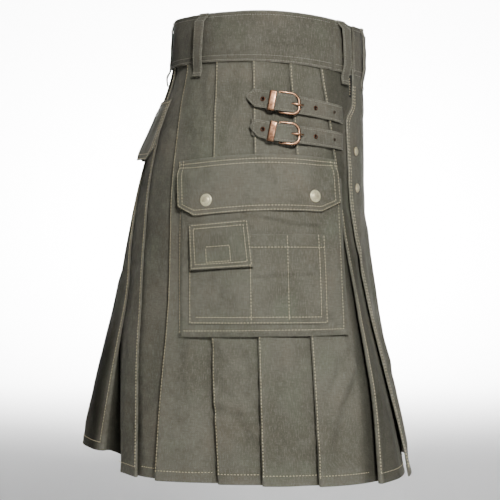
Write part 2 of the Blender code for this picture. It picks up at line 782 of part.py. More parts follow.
def make_prong(strap):
    """The tongue: an eye round the bar, then through the strap's slot and over the frame's end."""
    turn = WIRE_RADIUS + 0.3 * MM + PRONG_RADIUS
    eye = np.radians(np.arange(230, 29, -25))
    path = [(BAR_Y + turn * np.sin(a), BAR_OUT + turn * np.cos(a)) for a in eye]
    path += [(-17.5 * MM, 6.2 * MM), (-27 * MM, 6.0 * MM), (-30 * MM, 7.4 * MM), (-34 * MM, 9.7 * MM),
             (-38 * MM, FRAME_END_OUT + 2.7 * MM), (-42.3 * MM, FRAME_END_OUT + 2.6 * MM)]
    points = [on_hip(y, strap_height(strap, y), out, 1) for y, out in path]
    wire("buckle_prong_" + strap[0], points, PRONG_RADIUS, False)


def make_keeper(strap):
    """The metal keeper: a flat ring round the strap."""
    y = sum(KEEPER_Y) / 2
    wide = KEEPER_Y[0] - KEEPER_Y[1]
    out = strap_out(y)
    low, high = out - STRAP_THICK / 2 - 0.7 * MM, out + STRAP_THICK / 2 + 0.7 * MM
    metal = 0.9 * MM
    half = STRAP_WIDTH / 2 + 0.7 * MM
    name = "keeper_" + strap[0]
    shapes = []
    for grow, length, label in ((metal, wide, name), (0, wide * 1.5, "keeper_hole_" + strap[0])):
        mesh = bpy.data.meshes.new(label)
        shape = bmesh.new()
        bmesh.ops.create_cube(shape, size=1)
        for vertex in shape.verts:
            height = high + grow if vertex.co.z > 0 else low - grow
            vertex.co = (vertex.co.x * length, vertex.co.y * 2 * (half + grow), height - out)
        shape.to_mesh(mesh)
        shape.free()
        item = bpy.data.objects.new(label, mesh)
        item.matrix_world = strap_frame(strap, y)
        shapes.append(item)
    ring, hole = shapes
    ring.data.materials.append(material(name, "antique_copper"))
    KILT.objects.link(ring)
    hole.hide_render = True
    hole.display_type = "WIRE"
    CUTTERS.objects.link(hole)
    cut(ring, hole)


clear_scene()
KILT = new_collection("kilt")
CUTTERS = new_collection("cutters")
CUTTERS.hide_render = True
make_skirt()
make_band()
make_hook_tape()
make_loops()
for LABEL, SIDE in (("right", 1), ("left", -1)):
    pocket_body(LABEL, SIDE)
    pocket_flap(LABEL, SIDE)
    pocket_patch(LABEL, SIDE)
    small_flap(LABEL, SIDE)
    back_flap(LABEL, SIDE)
    make_snaps(LABEL, SIDE)
make_studs()
for STRAP in STRAPS:
    make_strap(STRAP)
    make_tab(STRAP)
    make_frame(STRAP)
    make_prong(STRAP)
    make_keeper(STRAP)
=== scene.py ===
# %% [markdown]
# # A pleated utility kilt
#
# This lesson dresses a set of plain solids as a real garment. The kilt is worn hollow: one long
# length of heavy cotton is folded into pleats, sewn to a waistband, wrapped round the body and
# closed with two buckled straps. Every piece of cloth here is a thin shell with its hem, its
# pressed folds and its rows of thread as real shapes, and the weave is left to the materials.
#
# The first cell loads the plain solids. They give the place and size of every piece.

import bpy
import numpy as np
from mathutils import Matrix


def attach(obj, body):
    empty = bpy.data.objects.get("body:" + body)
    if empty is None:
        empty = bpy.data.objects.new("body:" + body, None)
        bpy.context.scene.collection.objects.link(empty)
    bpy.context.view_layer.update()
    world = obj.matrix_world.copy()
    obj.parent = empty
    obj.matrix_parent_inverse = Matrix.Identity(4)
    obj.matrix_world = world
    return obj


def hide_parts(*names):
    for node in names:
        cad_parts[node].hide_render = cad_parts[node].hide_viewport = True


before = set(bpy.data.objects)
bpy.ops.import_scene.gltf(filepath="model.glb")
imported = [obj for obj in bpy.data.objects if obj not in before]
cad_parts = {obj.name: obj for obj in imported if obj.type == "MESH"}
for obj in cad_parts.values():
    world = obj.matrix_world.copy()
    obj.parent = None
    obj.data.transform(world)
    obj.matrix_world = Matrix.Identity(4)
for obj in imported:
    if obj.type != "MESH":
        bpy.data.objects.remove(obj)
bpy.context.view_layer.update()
MM = 0.001

# %% [markdown]
# ## Camera, floor and light
#
# The kilt is seen from the wearer's right, a little above the middle, with a long lens, so the
# outline stays nearly flat. A pale sweep under and behind it gives the plain studio ground: one
# curved sheet has no corner that could show as a line.

# %% Camera
def aim(item, target):
    """Turn a camera or lamp so that its own -Z looks at the target."""
    way = np.array(target, float) - np.array(item.location)
    turn = np.arctan2(way[1], way[0]) - np.pi / 2
    tilt = np.arctan2(way[2], np.hypot(way[0], way[1])) + np.pi / 2
    item.rotation_euler = (tilt, 0, turn)


camera = bpy.data.objects.new("camera", bpy.data.cameras.new("camera"))
camera.location = (-2.3, 0, -0.214)
camera.data.lens = 118.8
camera.data.sensor_width = 36
aim(camera, (0, 0.0248, -0.2837))
bpy.context.scene.collection.objects.link(camera)
bpy.context.scene.camera = camera

# %% Floor sweep
def sweep_floor(width=14.0, back=4.2, low=-0.95, bend=1.6):
    """A floor that runs back and curves up: straight, then a quarter circle, then straight up."""
    around = np.linspace(0, np.pi / 2, 16)
    along = np.concatenate([[-9.0], back + bend * np.sin(around), [back + bend]])
    height = np.concatenate([[0.0], bend * (1 - np.cos(around)), [6.0]])
    across = np.array([-width / 2, width / 2])
    x = np.broadcast_to(along[:, None], (len(along), 2))
    y = np.broadcast_to(across[None, :], x.shape)
    z = np.broadcast_to((low + height)[:, None], x.shape)
    return np.stack([x, y, z], axis=-1)


sweep = sweep_floor()
rows = np.arange(len(sweep) - 1)
faces = np.stack([2 * rows, 2 * rows + 2, 2 * rows + 3, 2 * rows + 1], axis=1)
mesh = bpy.data.meshes.new("floor")
mesh.from_pydata(sweep.reshape(-1, 3).tolist(), [], faces.tolist())
mesh.shade_smooth()
floor = bpy.data.objects.new("floor", mesh)
bpy.context.scene.collection.objects.link(floor)
paper = bpy.data.materials.new("pale paper")
paper.use_nodes = True
paper.node_tree.nodes["Principled BSDF"].inputs["Base Color"].default_value = (0.9, 0.9, 0.9, 1)
paper.node_tree.nodes["Principled BSDF"].inputs["Roughness"].default_value = 0.9
mesh.materials.append(paper)

# %% Lamps
LAMPS = (
    # name, place, size in metres, power in watts, what it looks at
    ("key", (-2.3, -0.5, 1.0), 0.4, 70, (0, 0, -0.3)),
    ("top", (-0.6, -0.1, 1.9), 0.8, 9, (0, 0, -0.2)),
    ("far side", (2.2, -0.9, 0.9), 0.8, 22, (0, 0, -0.3)),
    ("sweep left", (3.2, 3.4, 2.6), 2.5, 330, (5.6, 0.9, 0.4)),
    ("sweep right", (3.2, -3.4, 2.6), 2.5, 330, (5.6, -0.9, 0.4)),
    ("sweep low", (3.4, 0.0, 2.9), 2.0, 190, (5.0, 0.0, -0.9)),
)
for name, place, size, power, target in LAMPS:
    lamp = bpy.data.objects.new(name, bpy.data.lights.new(name, "AREA"))
    lamp.location = place
    lamp.data.shape = "DISK"
    lamp.data.size = size
    lamp.data.energy = power
    lamp.data.spread = np.radians(60 if name.startswith("sweep") else 180)
    aim(lamp, target)
    bpy.context.scene.collection.objects.link(lamp)

world = bpy.data.worlds.new("studio")
bpy.context.scene.world = world
world.use_nodes = True
world.node_tree.nodes["Background"].inputs["Color"].default_value = (1, 1, 1, 1)
world.node_tree.nodes["Background"].inputs["Strength"].default_value = 0.04

# %% [markdown]
# ## Black cards
#
# Two black cards stand beside the kilt, between it and the bright paper. They keep the paper's light
# off its sides, so the folds stay dark. The camera doesn't see them.

# %% Black cards
def card(name, corners):
    """A black card that only swallows light: the camera doesn't see it."""
    mesh = bpy.data.meshes.new(name)
    mesh.from_pydata(corners, [], [(0, 1, 2, 3)])
    item = bpy.data.objects.new(name, mesh)
    bpy.context.scene.collection.objects.link(item)
    item.visible_camera = False
    mesh.materials.append(black)


black = bpy.data.materials.new("black card")
black.use_nodes = True
black.node_tree.nodes["Principled BSDF"].inputs["Base Color"].default_value = (0.01, 0.01, 0.01, 1)
black.node_tree.nodes["Principled BSDF"].inputs["Roughness"].default_value = 0.9
for side in (-1, 1):
    y = 0.95 * side
    card(f"card {side}", [(0.1, y, -0.9), (2.6, y, -0.9), (2.6, y, 1.4), (0.1, y, 1.4)])

# %% [markdown]
# ## The ring round the body
#
# Everything on a kilt is placed by going round the body and down from the waist. So the whole
# lesson uses one map: an angle from the back centre line, a height, and a distance out from the
# body. The ring is an ellipse at the back and a squarer curve at the front, and its sizes are
# read from a short table with a smooth line through it.

# %% Sizes of the ring
RING = np.array((
    # height, half width, back depth, front depth, squareness of the front
    (33, 163, 128, 131, 2.0),
    (-31, 166, 131.5, 132, 2.0),
    (-100, 177, 152, 132, 2.0),
    (-170, 187, 173, 132, 2.1),
    (-240, 196, 189, 135, 2.2),
    (-350, 212, 211, 146, 2.6),
    (-450, 224, 229, 166, 3.1),
    (-573, 236, 243, 190, 3.6),
))
HEM_Z = -573 * MM
FRONT_DIP = 12 * MM
BACK_RISE = 21 * MM


def smooth(x, knots, values):
    """A line through the knots made of cubic pieces. The slope at each knot is the harmonic mean
    of the slopes on both sides, or nothing where they differ in sign, so it never overshoots."""
    knots = np.asarray(knots, float)
    values = np.asarray(values, float)
    x = np.clip(x, knots[0], knots[-1])
    wide = np.diff(knots)
    slope = np.diff(values) / wide
    product = slope[:-1] * slope[1:]
    total = slope[:-1] + slope[1:]
    inner = np.where(product > 0, 2 * product / np.where(total == 0, 1, total), 0)
    lean = np.concatenate([slope[:1], inner, slope[-1:]])
    k = np.clip(np.searchsorted(knots, x, side="right") - 1, 0, len(wide) - 1)
    t = (x - knots[k]) / wide[k]
    start, end = values[k], values[k + 1]
    first = start * (1 + 2 * t) * (1 - t) ** 2 + end * t * t * (3 - 2 * t)
    return first + wide[k] * (lean[k] * t * (1 - t) ** 2 - lean[k + 1] * t * t * (1 - t))


def ring_radius(angle, z):
    """Distance of the ring from the axis: (|sin/half|^n + |cos/depth|^n)^(-1/n), where n is 2 at
    the back and the squareness at the front."""
    half, back, front, square = [smooth(-z, -RING[:, 0] * MM, RING[:, i]) for i in range(1, 5)]
    sine = np.abs(np.sin(np.radians(angle)))
    cosine = np.cos(np.radians(angle))
    behind = ((sine / half) ** 2 + (np.abs(cosine) / back) ** 2) ** -0.5
    before = ((sine / half) ** square + (np.abs(cosine) / front) ** square) ** (-1 / square)
    return np.where(cosine > 0, behind, before) * MM


def dip(angle, z):
    """The waist sits lower at the front, and the hem rides up a little at the back."""
    turned = np.abs((angle + 180) % 360 - 180)
    share = np.clip((turned - 80) / 75, 0, 1)
    fade = np.clip((z - HEM_Z) / (-0.2 - HEM_Z), 0, 1)
    rise = np.clip((33 - turned) / 14, 0, 1)
    rise = rise * rise * (3 - 2 * rise) * np.clip((z + 0.36) / (HEM_Z + 0.36), 0, 1)
    return BACK_RISE * rise - FRONT_DIP * share * share * (3 - 2 * share) * fade


print("half width at the hip:", round(float(ring_radius(90.0, -0.24)), 4), "m")

# %% [markdown]
# ## Creases
#
# Cloth that has been worn is never a clean cone. The larger creases are listed one by one, each as a
# short bent line with a width and a depth, and a few long waves run round and down the skirt. One
# relief serves every layer and all that is sewn on it, so nothing is pushed through its neighbour.

# %% Crease table
# side, width in mm, depth in mm outwards, then points: y and z in mm on the hips (side right or
# left), or an angle in degrees and z in mm anywhere round the garment (side round)
CREASES = (
    ("right", 5, -2.4, (33, -414), (28, -430)),
    ("right", 5, 2.6, (66, -470), (50, -476), (30, -478)),
    ("right", 5, -2.0, (66, -482), (46, -488), (34, -486)),
    ("right", 4.5, -2.8, (30, -462), (20, -456), (13, -448)),
    ("right", 6, 2.6, (22, -452), (14, -436), (8, -420)),
    ("right", 6, 2.4, (31, -482), (24, -494), (15, -512)),
    ("right", 5, -2.0, (22, -470), (18, -486), (8, -500)),
    ("right", 8, 4.4, (-110, -424), (-96, -448), (-84, -474), (-76, -500), (-70, -540)),
    ("right", 6, -3.0, (-100, -424), (-87, -450), (-76, -478), (-67, -508)),
    ("right", 6, 2.0, (84, -440), (76, -448), (70, -458)),
    ("right", 6, -1.8, (74, -402), (66, -410), (60, -424)),
    ("right", 7, 2.0, (-97, -392), (-108, -410)),
    ("right", 13, 2.0, (99, -396), (101, -470), (105, -566)),
    ("right", 10, -1.8, (82, -404), (80, -480), (78, -560)),
    ("right", 9, 1.6, (-22, -398), (-27, -470), (-22, -540)),
    ("right", 8, -1.4, (-40, -402), (-46, -480)),
    ("right", 7, 1.3, (60, -402), (66, -440)),
    ("right", 8, 1.4, (10, -398), (4, -430), (8, -470)),
    ("right", 7, -0.9, (72, -62), (60, -98), (64, -140)),
    ("right", 8, 1.0, (30, -66), (36, -104)),
    ("right", 9, -1.2, (-112, -60), (-106, -100), (-112, -150)),
    ("right", 7, 1.2, (-120, -205), (-122, -250), (-118, -300)),
    ("left", 5, -1.5, (40, -420), (30, -436)),
    ("left", 8, 1.7, (74, -462), (52, -474), (30, -470)),
    ("left", 6, 1.5, (-10, -430), (-22, -470)),
    ("left", 12, 3.0, (-96, -418), (-84, -458), (-66, -500)),
    ("left", 12, 2.0, (96, -402), (99, -470), (100, -560)),
    ("left", 10, -1.7, (56, -410), (52, -480), (54, -556)),
    ("left", 8, 1.2, (20, -80), (6, -120)),
    ("left", 9, -1.1, (-60, -70), (-66, -130)),
    ("round", 16, 2.6, (163, -250), (165, -380), (161, -540)),
    ("round", 14, -2.2, (174, -230), (177, -370), (174, -550)),
    ("round", 17, 2.4, (187, -260), (186, -390), (190, -560)),
    ("round", 13, -2.0, (199, -240), (198, -350), (202, -520)),
    ("round", 9, 1.8, (150, -330), (158, -372), (163, -430)),
    ("round", 9, 1.6, (212, -300), (204, -350), (200, -400)),
    ("round", 8, 1.2, (166, -60), (176, -78), (188, -72)),
    ("round", 8, -1.1, (182, -96), (196, -106)),
    ("round", 12, 1.8, (3, -330), (-2, -430), (2, -540)),
    ("round", 9, -1.4, (-14, -340), (-13, -450)),
    ("round", 10, 1.5, (30, -320), (34, -420), (36, -540)),
    ("round", 10, 1.5, (-29, -330), (-33, -440), (-36, -550)),
)
WAVES = (
    # times round, times down a metre, start, size in mm, share kept above the hips
    (3, 1.1, 0.4, 0.7, 0.5),
    (5, 1.9, 3.3, 0.6, 0.5),
    (8, -3.1, 1.9, 0.45, 0.7),
    (13, 4.3, 4.1, 0.35, 0.8),
    (19, -6.7, 2.2, 0.25, 1.0),
    (9, 0.6, 1.0, 1.1, 0.1),
    (16, -0.9, 2.6, 0.8, 0.1),
    (27, 1.3, 5.0, 0.45, 0.2),
)

# %% The relief of the cloth
def angle_at(y, z):
    """Angle on the wearer's right where the ring has this y, found by halving."""
    low = np.zeros(np.broadcast(y, z).shape)
    high = low + 180
    for _ in range(28):
        middle = (low + high) / 2
        behind = ring_radius(middle, z) * np.cos(np.radians(middle)) > y
        low = np.where(behind, middle, low)
        high = np.where(behind, high, middle)
    return (low + high) / 2


def crease_lines():
    """Every crease as (points in degrees and metres, width, depth)."""
    lines = []
    for side, width, depth, *points in CREASES:
        places = np.array(points, float)
        heights = places[:, 1] * MM
        if side == "round":
            angles = places[:, 0]
        else:
            angles = angle_at(places[:, 0] * MM, heights) * (1 if side == "right" else -1)
        lines.append((np.stack([angles, heights], axis=1), width * MM, depth * MM))
    return lines


def bell(value, middle, width):
    """A smooth bump: e to the power of minus the square of the distance over the width."""
    return np.exp(-(((value - middle) / width) ** 2))


def line_bells(table, y, z):
    """Bumps and valleys along lines of y and z in mm, measured flat from the side."""
    total = np.zeros(np.broadcast(y, z).shape)
    for width, depth, *points in table:
        line = np.array(points) * MM
        nearest = np.full(total.shape, 1.0)
        for (y0, z0), (y1, z1) in zip(line[:-1], line[1:]):
            run = (y1 - y0, z1 - z0)
            share = np.clip(((y - y0) * run[0] + (z - z0) * run[1]) / (run[0] ** 2 + run[1] ** 2), 0, 1)
            nearest = np.minimum(nearest, np.hypot(y - y0 - share * run[0], z - z0 - share * run[1]))
        total += depth * MM * bell(nearest, 0, width * MM)
    return total


CREASE_LINES = crease_lines()
ROUND_SCALE = np.radians(1) * 0.2


def relief(angle, z):
    """How far the cloth stands out in metres: long sine waves that grow towards the hem, and for
    each crease a bell curve of the distance to its line, with a weaker opposite bell beside it."""
    around = np.radians(angle)
    lower = np.clip((-z - 0.2) / 0.3, 0, 1)
    total = np.zeros(np.broadcast(angle, z).shape)
    for times, down, start, size, kept in WAVES:
        share = kept + (1 - kept) * lower
        total += size * MM * share * np.sin(times * around + down * 6.283 * z + start)
    for line, width, depth in CREASE_LINES:
        nearest = np.full(total.shape, 1.0)
        for (a0, z0), (a1, z1) in zip(line[:-1], line[1:]):
            across = ((angle - a0 + 180) % 360 - 180) * ROUND_SCALE
            down = z - z0
            run = ((a1 - a0) * ROUND_SCALE, z1 - z0)
            share = np.clip((across * run[0] + down * run[1]) / (run[0] ** 2 + run[1] ** 2), 0, 1)
            nearest = np.minimum(nearest, np.hypot(across - share * run[0], down - share * run[1]))
        beside = np.exp(-((nearest / width - 2.1) ** 2))
        total += depth * (np.exp(-((nearest / width) ** 2)) - 0.35 * beside)
    return total * np.clip((-z - 0.034) / 0.05, 0, 1)


def on_ring(angle, z, out, flat=False):
    """Points at an angle and height, moved out along the ring's own normal. Unless flat, the
    relief of the cloth is added to the distance."""
    angle, z, out = np.broadcast_arrays(*[np.asarray(part, float) for part in (angle, z, out)])
    if not flat:
        out = out + relief(angle, z)
    corners = []
    for turn in (-0.2, 0.0, 0.2):
        radius = ring_radius(angle + turn, z)
        corners.append((-radius * np.sin(np.radians(angle + turn)), radius * np.cos(np.radians(angle + turn))))
    along = (corners[2][0] - corners[0][0], corners[2][1] - corners[0][1])
    size = np.hypot(*along)
    x = corners[1][0] + along[1] / size * out
    y = corners[1][1] - along[0] / size * out
    return np.stack([x, y, z + dip(angle, z)], axis=-1)


def on_hip(y, z, out, side, flat=False):
    """The same for a place on the right hip (side 1) or left hip (side -1), given by its y."""
    return on_ring(angle_at(y, z) * side, z, out, flat)


print("creases:", len(CREASE_LINES), "relief at the hip:", round(float(relief(np.array(60.0), np.array(-0.45))) * 1000, 2), "mm")

# %% [markdown]
# ## Finishes
#
# The cloth is a heavy cotton twill: fine slanted ribs, a little slub along the yarns, a faded look
# on every folded edge, and painted shade inside the pleats. The pattern reads the cloth's own map
# in metres, so the ribs keep their real size and follow each piece. Two numbers stored on the
# points tell the material where the worn edges are and how much shade is painted into the colour of the folds and
# hidden layers.

# %% Node helpers
def new_material(name, roughness, metallic=0.0):
    made = bpy.data.materials.new(name)
    made.use_nodes = True
    shader = made.node_tree.nodes["Principled BSDF"]
    shader.inputs["Roughness"].default_value = roughness
    shader.inputs["Metallic"].default_value = metallic
    return made, made.node_tree, shader


def add_node(tree, kind, **values):
    """A node with its settings: names that start with a capital are input sockets."""
    node = tree.nodes.new("ShaderNode" + kind)
    for key, value in values.items():
        if key[0].isupper():
            node.inputs[key.replace("_", " ")].default_value = value
        else:
            setattr(node, key, value)
    return node


def mottle(tree, vector, scale, detail=3.0, stretch=(1, 1, 1)):
    """A noise on stretched coordinates, from 0 to 1."""
    mapping = add_node(tree, "Mapping")
    mapping.inputs["Scale"].default_value = stretch
    noise = add_node(tree, "TexNoise", Scale=scale, Detail=detail)
    tree.links.new(vector, mapping.inputs["Vector"])
    tree.links.new(mapping.outputs["Vector"], noise.inputs["Vector"])
    return noise.outputs["Fac"]


def narrowed(tree, value, low, high, least=0.0, most=1.0):
    """Stretches the part of a value between low and high to least and most."""
    node = add_node(tree, "MapRange", From_Min=low, From_Max=high, To_Min=least, To_Max=most)
    tree.links.new(value, node.inputs["Value"])
    return node.outputs["Result"]


def tinted(tree, colour, factor, other, share=1.0):
    """Mixes a colour towards another by a factor times a share."""
    node = add_node(tree, "Mix", data_type="RGBA")
    if share != 1.0:
        factor = combined(tree, "MULTIPLY", factor, share)
    tree.links.new(factor, node.inputs["Factor"])
    for socket, value in (("A", colour), ("B", other)):
        found = next(i for i in node.inputs if i.name == socket and i.type == "RGBA")
        if isinstance(value, tuple):
            found.default_value = (*value, 1)
        else:
            tree.links.new(value, found)
    return next(o for o in node.outputs if o.type == "RGBA")


def combined(tree, operation, first, second):
    node = add_node(tree, "Math", operation=operation)
    for socket, value in zip(node.inputs, (first, second)):
        if isinstance(value, (int, float)):
            socket.default_value = value
        else:
            tree.links.new(value, socket)
    return node.outputs[0]


# %% Cotton twill
def twill(name, dark, light, faded, rib=0.0009, bump=0.35):
    """Slanted ribs, slub and mottling on the piece's own map, faded on worn edges, with painted shade in the folds.
    The dye has drifted: in some places to brown, in others to green."""
    made, tree, shader = new_material(name, 0.88)
    brown = (light[0] * 1.04, light[1] * 0.93, light[2] * 0.88)
    green = (light[0] * 0.93, light[1] * 1.04, light[2] * 0.95)
    shader.inputs["Sheen Roughness"].default_value = 0.4
    shader.inputs["Sheen Tint"].default_value = (0.92, 0.9, 0.82, 1)
    uv = add_node(tree, "UVMap", uv_map="cloth").outputs["UV"]
    place = add_node(tree, "TexCoord").outputs["Object"]
    ribs = add_node(tree, "TexWave", wave_type="BANDS", bands_direction="DIAGONAL", Scale=0.222 / rib)
    ribs.inputs["Distortion"].default_value = 1.2
    ribs.inputs["Detail Scale"].default_value = 2.0
    tree.links.new(uv, ribs.inputs["Vector"])
    warp = mottle(tree, uv, 900, 2, (1, 0.12, 1))
    weft = mottle(tree, uv, 900, 2, (0.12, 1, 1))
    clouds = mottle(tree, place, 9, 3)
    patches = mottle(tree, place, 38, 4)
    hues = mottle(tree, place, 17, 3)
    specks = mottle(tree, uv, 520, 3)
    colour = tinted(tree, dark, narrowed(tree, clouds, 0.38, 0.62), light)
    colour = tinted(tree, colour, narrowed(tree, patches, 0.5, 0.66), light, 0.5)
    colour = tinted(tree, colour, narrowed(tree, patches, 0.48, 0.32), dark, 0.55)
    colour = tinted(tree, colour, narrowed(tree, hues, 0.52, 0.72), brown, 0.6)
    colour = tinted(tree, colour, narrowed(tree, hues, 0.46, 0.28), green, 0.6)
    colour = tinted(tree, colour, narrowed(tree, specks, 0.52, 0.7), faded, 0.45)
    colour = tinted(tree, colour, narrowed(tree, warp, 0.5, 0.7), faded, 0.5)
    colour = tinted(tree, colour, narrowed(tree, weft, 0.5, 0.7), dark, 0.55)
    colour = tinted(tree, colour, narrowed(tree, ribs.outputs["Fac"], 0.0, 0.5, 1, 0), dark, 0.30)
    wear = add_node(tree, "Attribute", attribute_name="wear").outputs["Fac"]
    worn = combined(tree, "MULTIPLY", wear, narrowed(tree, mottle(tree, place, 160, 4), 0.3, 0.65))
    colour = tinted(tree, colour, worn, faded, 0.75)
    # Painted shade: the second stored number mixes the colour towards a near-black copy of the dark tone and turns
    # sheen and specular down, standing in for the shade in the folds and hidden layers.
    painted_shade = add_node(tree, "Attribute", attribute_name="painted_shade").outputs["Fac"]
    shadow = tuple(part * 0.16 for part in dark)
    colour = tinted(tree, colour, painted_shade, shadow, 0.92)
    tree.links.new(narrowed(tree, painted_shade, 0, 1, 0.10, 0), shader.inputs["Sheen Weight"])
    tree.links.new(narrowed(tree, painted_shade, 0, 1, 0.18, 0.02), shader.inputs["Specular IOR Level"])
    tree.links.new(colour, shader.inputs["Base Color"])
    tree.links.new(narrowed(tree, specks, 0.2, 0.8, 0.8, 0.97), shader.inputs["Roughness"])
    height = combined(tree, "MULTIPLY", ribs.outputs["Fac"], 0.5)
    height = combined(tree, "ADD", height, combined(tree, "MULTIPLY", warp, 0.9))
    height = combined(tree, "ADD", height, combined(tree, "MULTIPLY", weft, 0.6))
    fine = add_node(tree, "Bump", Strength=bump, Distance=0.0004)
    tree.links.new(height, fine.inputs["Height"])
    broad = combined(tree, "MULTIPLY", mottle(tree, place, 22, 2), 2.0)
    rumple = combined(tree, "ADD", mottle(tree, place, 60, 3), broad)
    coarse = add_node(tree, "Bump", Strength=0.75, Distance=0.0032)
    tree.links.new(rumple, coarse.inputs["Height"])
    tree.links.new(fine.outputs["Normal"], coarse.inputs["Normal"])
    tree.links.new(coarse.outputs["Normal"], shader.inputs["Normal"])
    return made


DARK = (0.098, 0.094, 0.070)
LIGHT = (0.152, 0.147, 0.115)
FADED = (0.235, 0.226, 0.182)
cotton = twill("cotton twill", DARK, LIGHT, FADED)
band_cotton = twill("waistband twill", (0.088, 0.083, 0.063), (0.130, 0.124, 0.096), FADED)
strap_cotton = twill("strap twill", (0.098, 0.093, 0.071), (0.146, 0.140, 0.110), FADED, 0.0008)


# %% Thread, metal and tape
def thread_finish(name, dark, light):
    """Cotton thread, twisted: slanted fine bands with a soft sheen."""
    made, tree, shader = new_material(name, 0.7)
    shader.inputs["Sheen Weight"].default_value = 0.3
    place = add_node(tree, "TexCoord").outputs["Object"]
    tone = mottle(tree, place, 700, 2)
    colour = tinted(tree, dark, narrowed(tree, tone, 0.3, 0.7), light)
    tree.links.new(colour, shader.inputs["Base Color"])
    twist = add_node(tree, "TexWave", bands_direction="DIAGONAL", Scale=700.0)
    tree.links.new(place, twist.inputs["Vector"])
    bump = add_node(tree, "Bump", Strength=0.4, Distance=0.0001)
    tree.links.new(twist.outputs["Fac"], bump.inputs["Height"])
    tree.links.new(bump.outputs["Normal"], shader.inputs["Normal"])
    return made


def old_metal(name, dark, bright, roughness, metallic=1.0):
    """Plated metal with a brushed-off finish: dark in patches, bright where it is rubbed, and brighter where the stored
    wear is set:
    rub wear on the rims of snaps and studs, a painted highlight along the top of the wire of buckle frames and eyelets.
    """
    made, tree, shader = new_material(name, roughness, metallic)
    place = add_node(tree, "TexCoord").outputs["Object"]
    clouds = mottle(tree, place, 190, 4)
    rubbed = mottle(tree, place, 900, 3, (1, 0.4, 1))
    colour = tinted(tree, dark, narrowed(tree, clouds, 0.36, 0.62), bright)
    colour = tinted(tree, colour, narrowed(tree, rubbed, 0.6, 0.8), bright, 0.5)
    # Rub wear on turned rims and a painted highlight on the tops of frames and eyelets both come in through this
    # attribute.
    edge = add_node(tree, "Attribute", attribute_name="wear").outputs["Fac"]
    colour = tinted(tree, colour, edge, tuple(min(1.0, part * 1.35) for part in bright), 0.6)
    tree.links.new(colour, shader.inputs["Base Color"])
    tree.links.new(narrowed(tree, clouds, 0.3, 0.7, roughness + 0.15, roughness - 0.08), shader.inputs["Roughness"])
    bump = add_node(tree, "Bump", Strength=0.25, Distance=0.0002)
    tree.links.new(rubbed, bump.inputs["Height"])
    tree.links.new(bump.outputs["Normal"], shader.inputs["Normal"])
    return made


def tape_finish():
    """Black closing tape: a dense pile of tiny hooks, seen as fine bumps in rows."""
    made, tree, shader = new_material("hook tape", 0.85)
    uv = add_node(tree, "UVMap", uv_map="cloth").outputs["UV"]
    hooks = add_node(tree, "TexVoronoi", Scale=900.0)
    tree.links.new(uv, hooks.inputs["Vector"])
    # Painted shade: the colour darkens from the middle of each hook to the gaps between the hooks.
    colour = tinted(tree, (0.05, 0.048, 0.044), narrowed(tree, hooks.outputs["Distance"], 0.1, 0.6), (0.012, 0.012, 0.011))
    tree.links.new(colour, shader.inputs["Base Color"])
    bump = add_node(tree, "Bump", Strength=0.8, Distance=0.0005, invert=True)
    tree.links.new(hooks.outputs["Distance"], bump.inputs["Height"])
    tree.links.new(bump.outputs["Normal"], shader.inputs["Normal"])
    return made


thread = thread_finish("beige thread", (0.56, 0.46, 0.25), (0.84, 0.73, 0.46))
dull_thread = thread_finish("faded thread", (0.20, 0.185, 0.135), (0.34, 0.31, 0.235))
copper = old_metal("antique copper", (0.15, 0.075, 0.045), (0.48, 0.27, 0.16), 0.30)
brass = old_metal("antique brass", (0.52, 0.43, 0.25), (0.84, 0.74, 0.50), 0.42, 0.55)
rust = old_metal("red brown eyelet", (0.050, 0.020, 0.014), (0.17, 0.075, 0.045), 0.45)
tape_black = tape_finish()
print("finishes:", len(bpy.data.materials))

# %% [markdown]
# ## Meshes from grids
#
# Each piece is a grid of points worked out as whole arrays. Two grids, the right side of the cloth
# and its wrong side, joined round their border make a closed shell with a real thickness. This is
# quicker than a Solidify modifier and lets a border be rounded like a turned edge.

# %% Mesh helpers
def put_mesh(name, points, quads, look, uv=None, wear=None, painted_shade=None, triangles=None):
    """A mesh from arrays, with its faces turned outwards: the sum over its faces of the volumes
    of tetrahedra to the origin is positive when they point out."""
    points = np.asarray(points, float).reshape(-1, 3)
    quads = np.asarray(quads, int).reshape(-1, 4)
    triangles = np.zeros((0, 3), int) if triangles is None else np.asarray(triangles, int)
    halves = np.concatenate([quads[:, [0, 1, 2]], quads[:, [0, 2, 3]], triangles])
    a, b, c = [points[halves[:, i]] for i in range(3)]
    if np.einsum("ij,ij->", a, np.cross(b, c)) < 0:
        quads = quads[:, ::-1]
        triangles = triangles[:, ::-1]
    corners = np.concatenate([quads.ravel(), triangles.ravel()]).astype(np.int32)
    sizes = np.concatenate([np.full(len(quads), 4), np.full(len(triangles), 3)]).astype(np.int32)
    starts = np.concatenate([[0], np.cumsum(sizes)[:-1]]).astype(np.int32)
    mesh = bpy.data.meshes.new(name)
    mesh.vertices.add(len(points))
    mesh.vertices.foreach_set("co", points.astype(np.float32).ravel())
    mesh.loops.add(len(corners))
    mesh.loops.foreach_set("vertex_index", corners)
    mesh.polygons.add(len(sizes))
    mesh.polygons.foreach_set("loop_start", starts)
    mesh.polygons.foreach_set("loop_total", sizes)
    mesh.update(calc_edges=True)
    mesh.shade_smooth()
    if uv is not None:
        layer = mesh.uv_layers.new(name="cloth")
        layer.data.foreach_set("uv", np.asarray(uv, np.float32).reshape(-1, 2)[corners].ravel())
    for label, values in (("wear", wear), ("painted_shade", painted_shade)):
        if values is not None:
            stored = mesh.attributes.new(label, "FLOAT", "POINT")
            stored.data.foreach_set("value", np.asarray(values, np.float32).ravel())
    mesh.materials.append(look)
    item = bpy.data.objects.new(name, mesh)
    bpy.context.scene.collection.objects.link(item)
    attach(item, "root")
    return item


